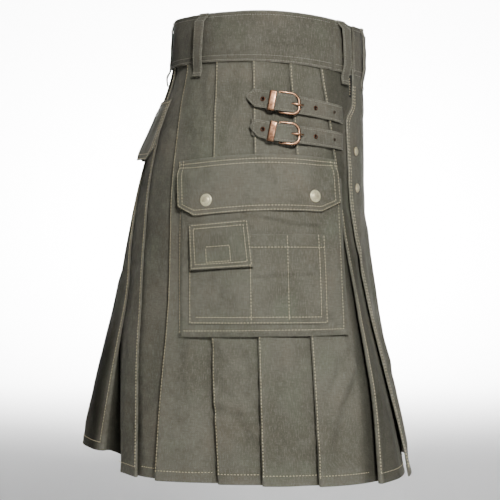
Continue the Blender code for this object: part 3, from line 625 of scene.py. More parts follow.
def grid_faces(rows, columns, shift=0, round_rows=False, round_columns=False):
    """Quads between the points of a grid that are numbered row by row."""
    number = np.arange(rows * columns).reshape(rows, columns)
    if round_columns:
        number = np.concatenate([number, number[:, :1]], axis=1)
    if round_rows:
        number = np.concatenate([number, number[:1]], axis=0)
    quads = np.stack([number[:-1, :-1], number[:-1, 1:], number[1:, 1:], number[1:, :-1]], axis=-1)
    return quads.reshape(-1, 4) + shift


def shell(name, outer, inner, look, uv, wear=None, painted_shade=None):
    """Two grids joined round their border into one closed skin."""
    rows, columns = outer.shape[:2]
    shift = rows * columns
    number = np.arange(shift).reshape(rows, columns)
    line = np.concatenate([number[0], number[1:, -1], number[-1, -2::-1], number[-2:0:-1, 0]])
    after = np.roll(line, -1)
    border = np.stack([line, line + shift, after + shift, after], axis=1)
    quads = np.concatenate([grid_faces(rows, columns), grid_faces(rows, columns)[:, ::-1] + shift, border])
    points = np.concatenate([outer.reshape(-1, 3), inner.reshape(-1, 3)])
    doubled = [None if part is None else np.concatenate([part.reshape(shift, -1)] * 2) for part in (uv, wear, painted_shade)]
    return put_mesh(name, points, quads, look, *doubled)


def grid_normals(points):
    """Unit normals of a grid: the cross product of the steps along and down."""
    along = np.gradient(points, axis=1)
    down = np.gradient(points, axis=0)
    normal = np.cross(along, down)
    return normal / np.maximum(np.linalg.norm(normal, axis=-1, keepdims=True), 1e-12)


# %% [markdown]
# ## Thread
#
# Topstitching is what makes this garment read as workwear, so each stitch is a small rounded grain
# of thread laid on the cloth: five sections along it, four points round each. A few thousand such
# grains cost less than one finely divided panel, and they catch the light as real thread does.

# %% Rows of stitches
STITCH_SECTION = np.array(((-1.0, -0.35), (-0.6, 0.75), (0.6, 0.75), (1.0, -0.35)))
STITCH_LINES = {}


def stitch_line(group, place, offset=0.0):
    """Keeps a line of points with the outward direction at each, to be sewn later."""
    points, above = place
    STITCH_LINES.setdefault(group, []).append((points, above, offset))


def on_cloth(where, across, z, out, side=None, flat=False):
    """Points on the cloth and 1 mm above them, for a row of stitches."""
    pair = []
    for extra in (0.0, 1 * MM):
        if where == "hip":
            pair.append(on_hip(across, z, out + extra, side, flat))
        else:
            pair.append(on_ring(across, z, out + extra, flat))
    return pair[0], pair[1] - pair[0]


def sew(group, pitch=4.2 * MM, length=2.8 * MM, width=0.46 * MM, height=0.45 * MM, look=None):
    """All the lines of a group as one mesh of grains. Along a grain its width follows a blunt
    curve: full in the middle, a little less at the quarters, a point at the ends."""
    reach = np.array((-0.5, -0.34, 0.0, 0.34, 0.5))
    swell = np.array((0.8, 1.0, 0.8))
    grains = []
    for points, above, offset in STITCH_LINES[group]:
        run = np.concatenate([[0], np.cumsum(np.linalg.norm(np.diff(points, axis=0), axis=1))])
        middles = np.arange(pitch / 2 + offset, run[-1] - length / 2, pitch)
        if not len(middles):
            continue
        stops = middles[:, None] + reach[None, :] * length
        spots = np.stack([np.interp(stops, run, points[:, i]) for i in range(3)], axis=-1)
        up = np.stack([np.interp(stops, run, above[:, i]) for i in range(3)], axis=-1)
        up /= np.linalg.norm(up, axis=-1, keepdims=True)
        way = np.broadcast_to((spots[:, -1] - spots[:, 0])[:, None, :], spots.shape)
        side = np.cross(up, way)
        side = side / np.maximum(np.linalg.norm(side, axis=-1, keepdims=True), 1e-12)
        rings = spots[:, 1:4, None, :] + swell[None, :, None, None] * (
            side[:, 1:4, None, :] * STITCH_SECTION[None, None, :, :1] * width
            + up[:, 1:4, None, :] * STITCH_SECTION[None, None, :, 1:] * height
        )
        tips = spots[:, [0, 4]] - up[:, [0, 4]] * height * 0.3
        grains.append(np.concatenate([tips, rings.reshape(len(stops), 12, 3)], axis=1))
    grains = np.concatenate(grains)
    ring = np.arange(4)
    after = (ring + 1) % 4
    quads = np.concatenate([
        np.stack([2 + k + ring, 2 + k + after, 6 + k + after, 6 + k + ring], axis=1) for k in (0, 4)
    ])
    fans = np.concatenate([
        np.stack([np.zeros(4, int), 2 + after, 2 + ring], axis=1),
        np.stack([np.ones(4, int), 10 + ring, 10 + after], axis=1),
    ])
    shift = np.arange(len(grains))[:, None, None] * 14
    tips = (fans[None] + shift).reshape(-1, 3)
    item = put_mesh(group, grains, quads[None] + shift, look or thread, triangles=tips)
    print(group, len(grains), "stitches")
    return item

# %% [markdown]
# ## The pleated skirt
#
# A knife pleat is one strip of cloth that turns back under itself and forward again, so from the
# edge of a pleat inwards there are three layers. The whole skirt is one such path of cloth at each
# height, from the free edge of the outer apron, round the back, to the edge of the under apron. It
# is cut into seven lengths inside the folds, where a maker would hide the joins.

# %% Pleat table
CLOTH = 1.1 * MM
PITCH_KNOTS = ((0.15, 1.35 * MM), (0.33, 2.0 * MM))
KNOTS = (31 * MM, 200 * MM, 360 * MM, 573 * MM)
FOLDS = (
    # angles at the waist, hip, thigh and hem; side of the panel on top; degrees turned under at
    # the waist and the hem; height where it opens; lift and opening at the hem; and how far the
    # panel below stands away from the fold at the hem in degrees
    (-115.5, -123.5, -127, -125, -1, 10, 6, -160, 4, 9, 0),
    (-99.5, -102.5, -104.2, -105.3, -1, 10, 6, -330, 5, 9, 0),
    (-83, -85, -86.5, -88.3, -1, 10, 6, -330, 4, 8, 0),
    (-64.5, -68, -70, -74, -1, 10, 6, -330, 2, 8, 0),
    (-42, -47, -52, -54, -1, 10, 5, -200, 6, 9, 0),
    (-22, -28.5, -37, -43, 1, 9, 5, -300, 6, 9, 0),
    (-9, -13, -22, -20, 1, 7, 6, -300, 32, 12, 0),
    (9, 13, 25, 20, -1, 7, -5, -340, 0, 34, 11.5),
    (22, 28.5, 38, 44.5, -1, 9, 4.5, -330, 2, 6, 0),
    (42, 47, 52.5, 52.8, 1, 10, 5, -190, 2, 8, 0),
    (64.5, 68, 70, 74, 1, 10, 6, -330, -4, 8, 0),
    (83, 85, 86.5, 88.3, 1, 10, 6, -330, 2, 8, 0),
    (99.5, 102.5, 104.2, 105.3, 1, 10, 6, -330, 5, 9, 0),
    (115.5, 123.5, 127, 123.5, 1, 10, 6, -160, 6, 14, 0),
)
# Outer apron's free edge: height, angle, lift
APRON_EDGE = np.array((
    (-20, 143, 0), (-75, 141, 0), (-100, 133.5, 0), (-200, 132, 1), (-255, 134, 1),
    (-360, 138.5, 2), (-430, 141, 2.5), (-500, 141.5, 3.5), (-573, 139, 5),
))
UNDER_EDGE = 218
LENGTHS = (
    # name, and the fold where the length ends, or None for the last
    ("apron_outer", 0),
    ("skirt_left_side", 3),
    ("skirt_left_back", 6),
    ("skirt_back", 8),
    ("skirt_right_back", 10),
    ("skirt_right_side", 13),
    ("apron_under", None),
)
WIDE = (0.3, 0.1, 0.95)
CLOSE = (0.45, 0.3)
# The panel between the two folds of the centre back. It gets painted shade towards the open pleat.
BACK_PANEL = 7
HEM_DEEP = 14 * MM
heights = np.concatenate([
    np.linspace(-28, -44, 4), np.arange(-49.5, -556, -5.5), (-559, -562, -565, -568, -571, -573)
]) * MM


# %% One path of cloth
def pitch_at(z):
    """Distance between two layers: pressed and stitched flat above, loose below."""
    return smooth(-z, *np.transpose(PITCH_KNOTS))


def edge_at(z):
    """Angle and lift of the outer apron's free edge."""
    down = -APRON_EDGE[:, 0] * MM
    return smooth(-z, down, APRON_EDGE[:, 1]), smooth(-z, down, APRON_EDGE[:, 2]) * MM


def opened(fold, z):
    """Share by which a pleat has opened: s*s*(2-s) of the way from where it opens to the hem."""
    share = np.clip((z - fold[7] * MM) / (HEM_Z - fold[7] * MM), 0, 1)
    return share * share * (2 - share)


def fold_state(fold, z):
    """Angle, angle of the lower panel's end, side, degrees turned under, depths of the upper and
    lower panel, and the opening, each for every height."""
    share = opened(fold, z)
    angle = smooth(-z, KNOTS, fold[:4])
    gap = fold[9] * MM * share
    top = -fold[8] * MM * share
    if fold[10]:
        turned = fold[5] + (fold[6] - fold[5]) * share
        low = top + 2 * pitch_at(z) + gap * WIDE[1]
    else:
        turned = np.interp(-z, (KNOTS[0], KNOTS[-1]), fold[5:7])
        low = top + 2 * pitch_at(z) + gap
    return angle, angle + fold[10] * share, fold[4], turned, top, low, gap


def panel_ends(z):
    """For each flat panel: the angle and depth of its two ends."""
    edge, lift = edge_at(z)
    ends = [(edge - 360, -lift)]
    for fold in FOLDS:
        angle, below, side, _, top, low, _ = fold_state(fold, z)
        pair = [(angle, top), (below, low)]
        ends += pair[::-1] if side > 0 else pair
    ends.append((np.full(z.shape, UNDER_EDGE), 2 * pitch_at(z)))
    return list(zip(ends[0::2], ends[1::2]))


def panel_depth(angle, number, panels, z):
    """Depth along a panel: a straight line from one end to the other. The under apron reaches its
    depth just before the free edge of the outer one."""
    (a, depth_a), (b, depth_b) = panels[number]
    reach = edge_at(z)[0] - 2 if number == len(FOLDS) else b
    return depth_a + (depth_b - depth_a) * np.minimum((angle - a) / (reach - a), 1)


def to_degrees(length, angle, z):
    return np.degrees(length / ring_radius(angle, z))


def turned_under(number, panels, z):
    """The eight places where the cloth turns under a fold, from the lower panel to the fold."""
    angle, below, side, turned, top, low, gap = fold_state(FOLDS[number], z)
    cover = number + 1 if side > 0 else number
    pitch = pitch_at(z)
    inner = angle + side * turned
    middle = angle + side * turned / 2
    start = (below + inner) / 2
    if FOLDS[number][10]:
        apart = pitch + gap * WIDE[0]
        mid_inner = top + pitch + gap * WIDE[2]
        low_inner = mid_inner + pitch + gap * WIDE[1]
        start_depth = (low + low_inner) / 2
        middle_depth = (mid_inner + top + apart) / 2
    else:
        apart = pitch + gap * CLOSE[0]
        mid_inner = panel_depth(inner, cover, panels, z) + apart
        low_inner = mid_inner + pitch + gap * CLOSE[1]
        start_depth = panel_depth(start, cover, panels, z)
        start_depth = start_depth + (low_inner - mid_inner + apart + low - top) / 2
        middle_depth = panel_depth(middle, cover, panels, z) + apart
    bend = np.minimum(to_degrees(apart / 2, angle, z), 1.5)
    turn = np.minimum(to_degrees((low_inner - mid_inner) / 2, angle, z), 2.5)
    # Each place: angle, depth, wear on the fold's edge, and the share of painted shade, which darkens the layers turned
    # under the fold.
    places = [
        (start, start_depth, 0, 0.7),
        (inner, low_inner, 0, 1),
        (inner + side * turn, (low_inner + mid_inner) / 2, 0.3, 1),
        (inner, mid_inner, 0, 1),
        (middle, middle_depth, 0, 1),
        (angle + side * bend, top + apart, 0.1, 0.9),
        (angle, top + apart / 2, 0.5, 0.2),
        (angle + side * bend, top, 0.35, 0),
    ]
    return places if side > 0 else places[::-1]


def whole_path(z):
    """The cloth's whole path as four grids, a row for each height: angle, depth, wear, and the share of painted shade.
    Also the columns where it is cut."""
    panels = panel_ends(z)
    last = len(FOLDS)
    places = []
    cuts = []
    for number, ((a, _), (b, _)) in enumerate(panels):
        shares = np.linspace(0, 1, 20)[:-1] if number == 0 else np.linspace(0, 1, 10)[1:-1]
        if number == last:
            edge = edge_at(z)[0]
            near = [a + (edge - 2 - a) * share for share in np.linspace(0.1, 1, 8)]
            far = [edge + 6 + (b - edge - 6) * share for share in np.linspace(0.06, 1, 17)]
            spots = near + [edge + 2, edge + 6] + far
        else:
            spots = [a + (b - a) * share for share in shares]
        for index, angle in enumerate(spots):
            worn = 0.9 if (number, index) in ((0, 0), (last, len(spots) - 1)) else 0
            # Painted shade: the under apron beside the outer apron's edge, the centre back panel towards the open pleat
            # and the end of the last side panel are darkened, standing in for the shade there.
            painted_shade_share = 0.45 * np.clip((edge - angle) / 3, 0, 1) if number == last else 0
            if number == BACK_PANEL:
                painted_shade_share = 0.8 * np.clip((angle + 2) / 12, 0, 1) * np.clip((-z - 0.31) / 0.12, 0, 1)
            if number == last - 1:
                painted_shade_share = 0.85 * np.clip((angle - b + 5) / 4, 0, 1) * np.clip((-z - 0.14) / 0.05, 0, 1)
            places.append((angle, panel_depth(angle, number, panels, z), worn, painted_shade_share))
        if number < last:
            cuts.append(len(places) + (4 if FOLDS[number][4] > 0 else 3))
            places += turned_under(number, panels, z)
    grids = [np.stack([np.broadcast_to(place[i], z.shape) for place in places], axis=1) for i in range(4)]
    return [rounded(grid) for grid in grids], [2 * cut for cut in cuts]


def rounded(grid):
    """Cuts the corners of every row once: each step gives points at a quarter and three quarters
    of its length, so the folds become soft while the flat panels stay as they are."""
    first = 0.75 * grid[:, :-1] + 0.25 * grid[:, 1:]
    second = 0.25 * grid[:, :-1] + 0.75 * grid[:, 1:]
    inside = np.stack([first, second], axis=2).reshape(len(grid), -1)
    return np.concatenate([grid[:, :1], inside, grid[:, -1:]], axis=1)


(angles, depths, worn, painted_shade_share), cuts = whole_path(heights)
skirt = on_ring(angles, heights[:, None], -depths)
hem_run = float(np.linalg.norm(np.diff(skirt[-1], axis=0), axis=1).sum())
print("skirt grid:", skirt.shape, "path at the hem:", round(hem_run, 2), "m")

# %% [markdown]
# ## Hem and shells
#
# The hem is a real turning: the grid goes round a small bend at the bottom and back up 14 mm on
# the wrong side. Then the middle surface is moved half a thickness each way to make the shell.

# %% Hem and seven lengths
def with_hem(grid):
    """Adds the turned-up rows: a half circle below the hem, then the same heights again inside."""
    normal = grid_normals(grid)
    inward = -normal if np.median((normal[-1] * grid[-1])[:, :2].sum(axis=1)) > 0 else normal
    drop = grid[-1] - grid[-2]
    drop /= np.linalg.norm(drop, axis=-1, keepdims=True)
    radius = 0.75 * MM
    bends = [
        grid[-1] + radius * (drop * np.sin(a) + inward[-1] * (1 - np.cos(a)))
        for a in np.radians((50, 110, 180))
    ]
    ups = [grid[-k] + inward[-k] * 2 * radius for k in (3, 4, 5, 6)]
    return np.concatenate([grid, np.stack(bends + ups)])


def stretched(values, row):
    """The same extra rows for a grid of numbers."""
    return np.concatenate([values, np.repeat(values[-1:], row, axis=0)])


def cloth_map(points):
    """The cloth's map in metres: run along each row, measured from the middle column, and down."""
    across = np.cumsum(np.linalg.norm(np.diff(points, axis=1), axis=-1), axis=1)
    down = np.cumsum(np.linalg.norm(np.diff(points, axis=0), axis=-1), axis=0)
    run = np.concatenate([np.zeros((len(points), 1)), across], axis=1)
    fall = np.concatenate([np.zeros((1, points.shape[1])), down])
    middle = points.shape[1] // 2
    fall = np.broadcast_to(fall[:, middle:middle + 1], run.shape)
    return np.stack([run - run[:, middle:middle + 1], -fall], axis=-1)


start = 0
for name, fold in LENGTHS:
    stop = skirt.shape[1] - 1 if fold is None else cuts[fold]
    part = with_hem(skirt[:, start:stop + 1])
    extra = len(part) - len(skirt)
    normal = grid_normals(part)
    near_hem = np.exp(-np.abs(heights - HEM_Z) / (2.5 * MM))[:, None]
    wear = stretched(np.clip(worn[:, start:stop + 1] + 0.45 * near_hem, 0, 1), extra)
    painted_shade = stretched(painted_shade_share[:, start:stop + 1], extra)
    faces_out = np.median((normal[10] * part[10])[:, :2].sum(axis=1)) > 0
    half = CLOTH / 2 if faces_out else -CLOTH / 2
    item = shell(name + "_cloth", part + normal * half, part - normal * half, cotton, cloth_map(part), wear, painted_shade)
    length = float(np.linalg.norm(np.diff(part[:, 4], axis=0), axis=1).sum())
    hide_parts(name)
    start = stop

# %% Stitches on the skirt
def fold_stitches():
    """A row of thread 2 mm from every pleat edge, on the panel that lies on top."""
    panels = panel_ends(heights)
    z = heights[1:-3]
    for number, fold in enumerate(FOLDS):
        angle, _, side, _, _, _, _ = fold_state(fold, heights)
        at = angle + side * to_degrees(2.2 * MM, angle, heights)
        depth = panel_depth(at, number + 1 if side > 0 else number, panels, heights)
        stitch_line("stitches_skirt", on_cloth("round", at[1:-3], z, (-depth + CLOTH / 2)[1:-3]))


def hem_stitches():
    """A row of thread 12 mm above the hem on every panel, and the two free edges."""
    z = np.full(60, HEM_Z + 12 * MM)
    panels = panel_ends(z)
    for number, ((a, _), (b, _)) in enumerate(panels):
        at = a + (b - a) * np.linspace(0.004, 0.996, 60)
        depth = panel_depth(at, number, panels, z)
        stitch_line("stitches_hem", on_cloth("round", at, z, -depth + CLOTH / 2))
    z = heights[4:-3]
    panels = panel_ends(z)
    edge = edge_at(z)[0] - 360
    for inset in (2.6 * MM, 8.6 * MM):
        at = edge + to_degrees(inset, edge, z)
        stitch_line("stitches_hem", on_cloth("round", at, z, -panel_depth(at, 0, panels, z) + CLOTH / 2))
    at = UNDER_EDGE - to_degrees(3 * MM, UNDER_EDGE, z)
    stitch_line("stitches_hem", on_cloth("round", at, z, -panel_depth(at, len(FOLDS), panels, z) + CLOTH / 2))


fold_stitches()
hem_stitches()
sew("stitches_skirt")
sew("stitches_hem")

# %% [markdown]
# ## Waistband and closing tape
#
# The waistband is a doubled strip that holds the tops of all the pleats between its layers. Its
# section is drawn once, as an outer and an inner line with a rounded top and small valleys under
# the rows of thread, and carried round the ring. Inside it thickens downwards over the pleats.

# %% Waistband section
BAND_HALF = 31 * MM
BAND_ENDS = (-216.5, -125.5, 124.0, 219.0)
BAND_DIP = (134.5, 141.5)
BAND_ROWS = (25.4 * MM, -23.4 * MM, -28.6 * MM)
BAND_CREASES = (
    # width and depth in mm, then points: y and z in mm, the same on both hips
    (3.4, -1.1, (28, -22), (18, -17), (2, -12), (-15, -15), (-40, -11)),
    (4.2, 0.8, (24, -14), (4, -5), (-14, -8), (-34, -5)),
    (4.0, -0.6, (68, -9), (52, -5), (36, -8)),
    (4.5, 0.6, (64, 2), (48, 5), (30, 3)),
    (3.6, -0.7, (-64, -18), (-80, -12)),
    (5.0, 0.6, (-62, 4), (-84, 8)),
    (4.5, -0.5, (10, 12), (-22, 14)),
    (4.0, -0.6, (96, -16), (84, -6)),
)


def band_section():
    """Heights and distances of the outer and inner line: flat faces 2.4 mm apart whose ends curve
    together, less a small valley at every row of thread."""
    turn = np.radians(np.linspace(0, 84, 6))
    end = BAND_HALF - 1.2 * MM
    straight = np.linspace(-end, end, 40)
    z = np.concatenate([-end - 1.2 * MM * np.sin(turn[::-1]), straight[1:-1], end + 1.2 * MM * np.sin(turn)])
    half = np.concatenate([1.2 * MM * np.cos(turn[::-1]), np.full(38, 1.2 * MM), 1.2 * MM * np.cos(turn)])
    valley = sum(bell(z, row, 1.5 * MM) for row in BAND_ROWS) * 0.42 * MM
    puff = 0.35 * MM * bell(z, 0, 16 * MM)
    thick = np.clip((-z - 6 * MM) / (20 * MM), 0, 1)
    return z, half - valley + puff, -half + valley * 0.5 - 4.5 * MM * thick * thick * (3 - 2 * thick)


BAND_Z, BAND_OUTER, BAND_INNER = band_section()


def band_wave(angle, z):
    """The band is a little slack between its loops: two short waves, and ripples at its edges."""
    around = np.radians(angle)
    slack = 0.7 * np.sin(6 * around + 0.8) + 0.5 * np.sin(11 * around + 2.1 + 30 * z)
    ripple = 0.25 * np.sin(58 * around + 90 * z) * (bell(z, 29 * MM, 7 * MM) + bell(z, -26 * MM, 9 * MM))
    y = ring_radius(angle, 0.0) * np.cos(around)
    return (slack + ripple) * MM * 0.7 + line_bells(BAND_CREASES, y, z)


def band_lift(angle):
    """Distance of the band's middle from the ring: the under end dips behind the free end."""
    return np.interp(angle, BAND_DIP, (0.5 * MM, -2.8 * MM)) if np.max(angle) > 130 else np.full(np.shape(angle), 0.5 * MM)


def band_place(angle, z, out):
    """A place on the band, whose lower edge sinks over the pleats' tops: 3 mm at the back and the
    hips and 7 mm at the front."""
    lift = band_lift(angle) + band_wave(angle, z)
    slope = 0.6 * MM * np.sin(4 * np.radians(angle) + 1.0)
    front = np.clip((np.abs((angle + 180) % 360 - 180) - 60) / 90, 0, 1)
    z = z - (3 + 4 * front) * MM * np.clip(-z / BAND_HALF, 0, 1)
    return on_ring(angle, z + slope * (z + BAND_HALF) / (2 * BAND_HALF), out + lift, flat=True)


# %% Three lengths of band
for name, low, high, lead in (
    ("waistband_front", BAND_ENDS[0], BAND_ENDS[1], 0),
    ("waistband_back", BAND_ENDS[1] + 0.16, BAND_ENDS[2], 0),
    ("waistband_under", BAND_ENDS[2] + 0.16, BAND_ENDS[3], 1),
):
    around = np.concatenate([[low, low + 0.12, low + 0.4], np.arange(low + 1.2, high - 1, 1.5), [high - 0.4, high - 0.12, high]])
    edge = np.clip(np.minimum(around - low, high - around) / 0.5, 0, 1)
    close = 0.25 + 0.75 * np.sqrt(1 - (1 - edge) ** 2)
    middle = (BAND_OUTER + BAND_INNER) / 2
    outer = band_place(around[None, :], BAND_Z[:, None], middle[:, None] + (BAND_OUTER - middle)[:, None] * close)
    inner = band_place(around[None, :], BAND_Z[:, None], middle[:, None] + (BAND_INNER - middle)[:, None] * close)
    run = np.radians(around) * 0.15
    uv = np.stack(np.broadcast_arrays(run[None, :], BAND_Z[:, None]), axis=-1)
    wear = np.clip(bell(BAND_Z, BAND_HALF, 2 * MM) + 0.8 * bell(BAND_Z, -BAND_HALF, 1.5 * MM), 0, 1)[:, None]
    item = shell(name + "_cloth", outer, inner, band_cotton, uv, wear * np.ones((1, len(around))), np.zeros(uv.shape[:2]))
    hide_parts(name)
    length = float(np.linalg.norm(np.diff(outer[20], axis=0), axis=1).sum())
    print(name, "cut", round(length, 3), "x 0.062 m, doubled")
    for row in BAND_ROWS:
        at = np.linspace(low + 1.2, high - 1.2, 140)
        z = np.full(at.shape, row)
        height = np.interp(row, BAND_Z, BAND_OUTER)
        points = band_place(at, z, height + 0.02 * MM)
        stitch_line("stitches_band", (points, band_place(at, z, height + 1 * MM) - points))
for low in (BAND_ENDS[0] + 1.2,):
    z = np.linspace(-26 * MM, 25 * MM, 20)
    at = np.full(z.shape, low)
    points = band_place(at, z, 1.25 * MM)
    stitch_line("stitches_band", (points, band_place(at, z, 2.2 * MM) - points))
sew("stitches_band", 3.4 * MM, 2.7 * MM, 0.4 * MM, look=dull_thread)


# %% Closing tape below the band's free end
def eased(distance, radius):
    """A quarter circle that rises from the border: sqrt(1 - (1 - d/r)^2), and 1 further in."""
    return np.sqrt(1 - (1 - np.clip(distance / radius, 0, 1)) ** 2)


def fine_steps(length, pitch):
    """Shares from 0 to 1 along a length, with the points close together near both ends."""
    near = np.array((0, 0.25, 0.7, 1.4, 2.4)) * MM
    count = max(int((length - 2 * near[-1]) / pitch), 2)
    inside = np.linspace(near[-1], length - near[-1], count)
    return np.concatenate([near[:-1], inside, length - near[-2::-1]]) / length


u, v = np.meshgrid(fine_steps(12 * MM, 2 * MM), fine_steps(30 * MM, 3 * MM))
half = 0.5 * MM * (0.3 + 0.7 * eased(np.minimum(np.minimum(u, 1 - u) * 12, np.minimum(v, 1 - v) * 30) * MM, 0.6 * MM))
outer = on_ring(139.5 + 4.6 * u, (-66 + 30 * v) * MM, -1.9 * MM + half)
inner = on_ring(139.5 + 4.6 * u, (-66 + 30 * v) * MM, -1.9 * MM - half)
tape = shell("closing_tape", outer, inner, tape_black, np.stack([u * 0.012, v * 0.03], axis=-1))
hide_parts("hook_tape")
for share in (0.14, 0.86):
    z = np.linspace(-64, -38, 12) * MM
    stitch_line("stitches_tape", on_cloth("round", np.full(12, 139.5 + 4.6 * share), z, -1.35 * MM))
sew("stitches_tape", 3.4 * MM, 2.2 * MM)

# %% [markdown]
# ## Belt loops
#
# A belt loop is a folded strip, sewn flat at both ends and standing off between them so that a
# belt can pass. Its path down the band is the same table as in the solids, smoothed, and its
# section is a flat lens with a soft valley where each edge is stitched.

# %% Seven loops
LOOP_PATH = np.array(((31, 2.85), (27, 3.0), (23, 6.4), (18.5, 9.2), (0, 9.5), (-18, 9.2), (-31, 6.6), (-40, 2.2), (-49, 1.75)))
LOOP_ANGLES = (("back", 0), ("hip_right", 55), ("hip_left", -55), ("side_right", 131),
               ("side_left", -131), ("apron_right", 160), ("apron_left", -160))
LOOP_HALF = 8.6 * MM
LOOP_STAND = {"back": 0.32, "hip": 0.7, "side": 1.0, "apron": 0.45}
# How far each loop hangs askew: degrees at its top and at its foot, towards the front
LOOP_ASKEW = {"back": (0, 0), "hip": (1.8, -2.2), "side": (-1.2, 2.0), "apron": (0, 0)}

for where, angle in LOOP_ANGLES:
    node = "loop_" + where
    share = np.linspace(0, 1, 46)
    index = smooth(share, np.linspace(0, 1, len(LOOP_PATH)), np.arange(len(LOOP_PATH)))
    z = smooth(index, np.arange(len(LOOP_PATH)), LOOP_PATH[:, 0]) * MM
    out = smooth(index, np.arange(len(LOOP_PATH)), LOOP_PATH[:, 1]) * MM
    out = 1.75 * MM + (out - 1.75 * MM) * LOOP_STAND[where.split("_")[0]]
    if where == "back":
        z = z - 4 * MM * np.clip(-z / (49 * MM), 0, 1)
        out = out + 4.2 * MM * bell(z, -43 * MM, 7 * MM)
    rock = 0.5 * MM * np.sin(9 * share + angle)
    z = z - 3 * MM * np.clip(-z / (49 * MM), 0, 1)
    askew = np.interp(share, (0, 1), LOOP_ASKEW[where.split("_")[0]])[:, None] * (1 if angle > 0 else -1)
    across = np.array((-1, -0.985, -0.95, -0.88, -0.75, -0.66, -0.4, 0, 0.4, 0.66, 0.75, 0.88, 0.95, 0.985, 1))
    lens = 0.92 * MM * (0.25 + 0.75 * eased((1 - np.abs(across)) * LOOP_HALF, 0.9 * MM))
    lens = lens - 0.22 * MM * bell(np.abs(across), 0.7, 0.08)
    turn = to_degrees(LOOP_HALF + rock[:, None] * 0.4, angle, z[:, None]) * across
    pinch = 0.35 * MM * np.sin(40 * share)[:, None] * bell(np.abs(across), 0.7, 0.3)
    place = (angle + askew + turn, z[:, None], (out + rock * 0.5)[:, None] + pinch)
    outer = on_ring(place[0], place[1], place[2] + lens)
    inner = on_ring(place[0], place[1], place[2] - np.minimum(lens, 0.8 * MM))
    uv = np.stack(np.broadcast_arrays(across * LOOP_HALF, share[:, None] * 0.085), axis=-1)
    wear = np.broadcast_to(np.clip(bell(np.abs(across), 1, 0.1), 0, 1), uv.shape[:2])
    item = shell(node + "_cloth", outer, inner, strap_cotton, uv, wear, np.zeros(uv.shape[:2]))
    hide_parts(node)
    for column in (4, 10):
        points = outer[1:-1, column]
        stitch_line("stitches_loops", (points, (outer - inner)[1:-1, column]))
    for row in (1, 3, 42, 44):
        stitch_line("stitches_tacks", (outer[row, 2:-2], (outer - inner)[row, 2:-2]))
sew("stitches_loops", 3.4 * MM, 2.6 * MM, 0.36 * MM, look=dull_thread)
sew("stitches_tacks", 1.1 * MM, 1.0 * MM, 0.3 * MM, 0.35 * MM, dull_thread)

# %% [markdown]
# ## Hip pockets
#
# Each hip carries a wide cargo pocket: a shallow bag with double stitched sides, a large flap with
# cut corners, a flat patch divided by stitching, and a little flap over the patch's back corner.
# The four are stacked, so each one's distance from the body is the last one's plus its thickness.

# %% Pocket table
# For the top and then for the foot: y of the back and front corner, height of both
POCKET_BODY = np.array(((114, -95, -187.5, -178.5), (114, -103, -389.7, -383.2))) * MM
POCKET_FLAP = np.array(((114.5, -86, -163.8, -154.8), (112, -89.6, -237.5, -225.5))) * MM
PATCH = np.array(((98.5, -70.5, -260, -254.4), (98.5, -75, -372.7, -368.8))) * MM
SMALL_FLAP = np.array(((97.8, 24, -245.4, -238), (93.4, 16.8, -303.7, -297.8))) * MM
# How far the flap's top and foot rise in the middle, and how high and wide its corners are cut
FLAP_ARCH = (4.5 * MM, 3.9 * MM)
FLAP_CORNER = 15 * MM
FLAP_CUT = (0.11, 0.12)
PATCH_SEAMS = (0.454, 0.722)
SNAPS = ((75.6 * MM, -214 * MM), (-57 * MM, -205.4 * MM))
POCKET_DENTS = (
    # width and depth in mm, then points: y and z in mm
    (3.0, -2.2, (22, -235), (-8, -240), (-30, -245), (-62, -246)),
    (3.6, 1.3, (26, -229), (-6, -234), (-30, -238), (-60, -239)),
    (2.3, -1.5, (16, -313), (-4, -312), (-25, -310)),
    (2.3, -1.5, (-31, -309.5), (-60, -308)),
    (3.0, 0.8, (14, -307), (-24, -304.5), (-58, -302)),
    (2.5, -0.7, (91, -317), (70, -319), (52, -318)),
    (2.0, -1.2, (108, -275), (101, -269)),
    (2.0, -1.2, (108, -294), (101, -290)),
    (2.4, 0.8, (109, -284), (102, -280)),
    (6.0, 1.0, (-84, -250), (-88, -300), (-84, -350)),
    (5.0, -0.9, (60, -330), (66, -356)),
    (7.0, 0.9, (30, -180), (26, -215)),
    (7.0, -0.8, (-20, -178), (-26, -216)),
)


def blend(first, second, share):
    return first + (second - first) * share


def four_sided(piece, u, v):
    """y and height on a flat piece between its top and its foot."""
    back, front, back_z, front_z = [blend(top, foot, v) for top, foot in zip(*piece)]
    return blend(back, front, u), blend(back_z, front_z, u)


def shares_at(piece, y, z):
    """The way back from y and height to the shares: u is guessed, then v follows, then u."""
    (back, front, back_z, front_z), (low_back, low_front, low_back_z, low_front_z) = piece
    u = (back - y) / (back - (front + low_front) / 2)
    v = (blend(back_z, front_z, u) - z) / (blend(back_z, front_z, u) - blend(low_back_z, low_front_z, u))
    return (blend(back, low_back, v) - y) / (blend(back, low_back, v) - blend(front, low_front, v)), v


def flap_arch(u, v):
    """The flap's top and foot rise in the middle: a parabola."""
    return blend(*FLAP_ARCH, v) * (1 - (2 * u - 1) ** 2)


def body_out(y, z):
    """Distance of the bag's cloth: sewn down at its border, 4.7 mm inside, with a slack belly low
    down and a shallow valley under each row of thread."""
    u, v = shares_at(POCKET_BODY, y, z)
    front = np.minimum((1 - u) * 213, (1 - v) * 203) * MM
    rim = np.minimum(u * 213 * MM, front)
    rise = np.clip(rim / (7 * MM), 0, 1)
    belly = np.clip(np.sin(np.pi * np.clip(u, 0, 1)), 0, 1) * bell(v, 0.68, 0.34)
    valley = 0.45 * MM * (bell(u * 213 * MM, 1.8 * MM, 1.4 * MM) + bell(front, 8 * MM, 1.6 * MM))
    flat = blend(1.3 * MM, 4.9 * MM, rise * rise * (3 - 2 * rise))
    return flat + 1.6 * MM * belly - valley + line_bells(POCKET_DENTS, y, z) * rise


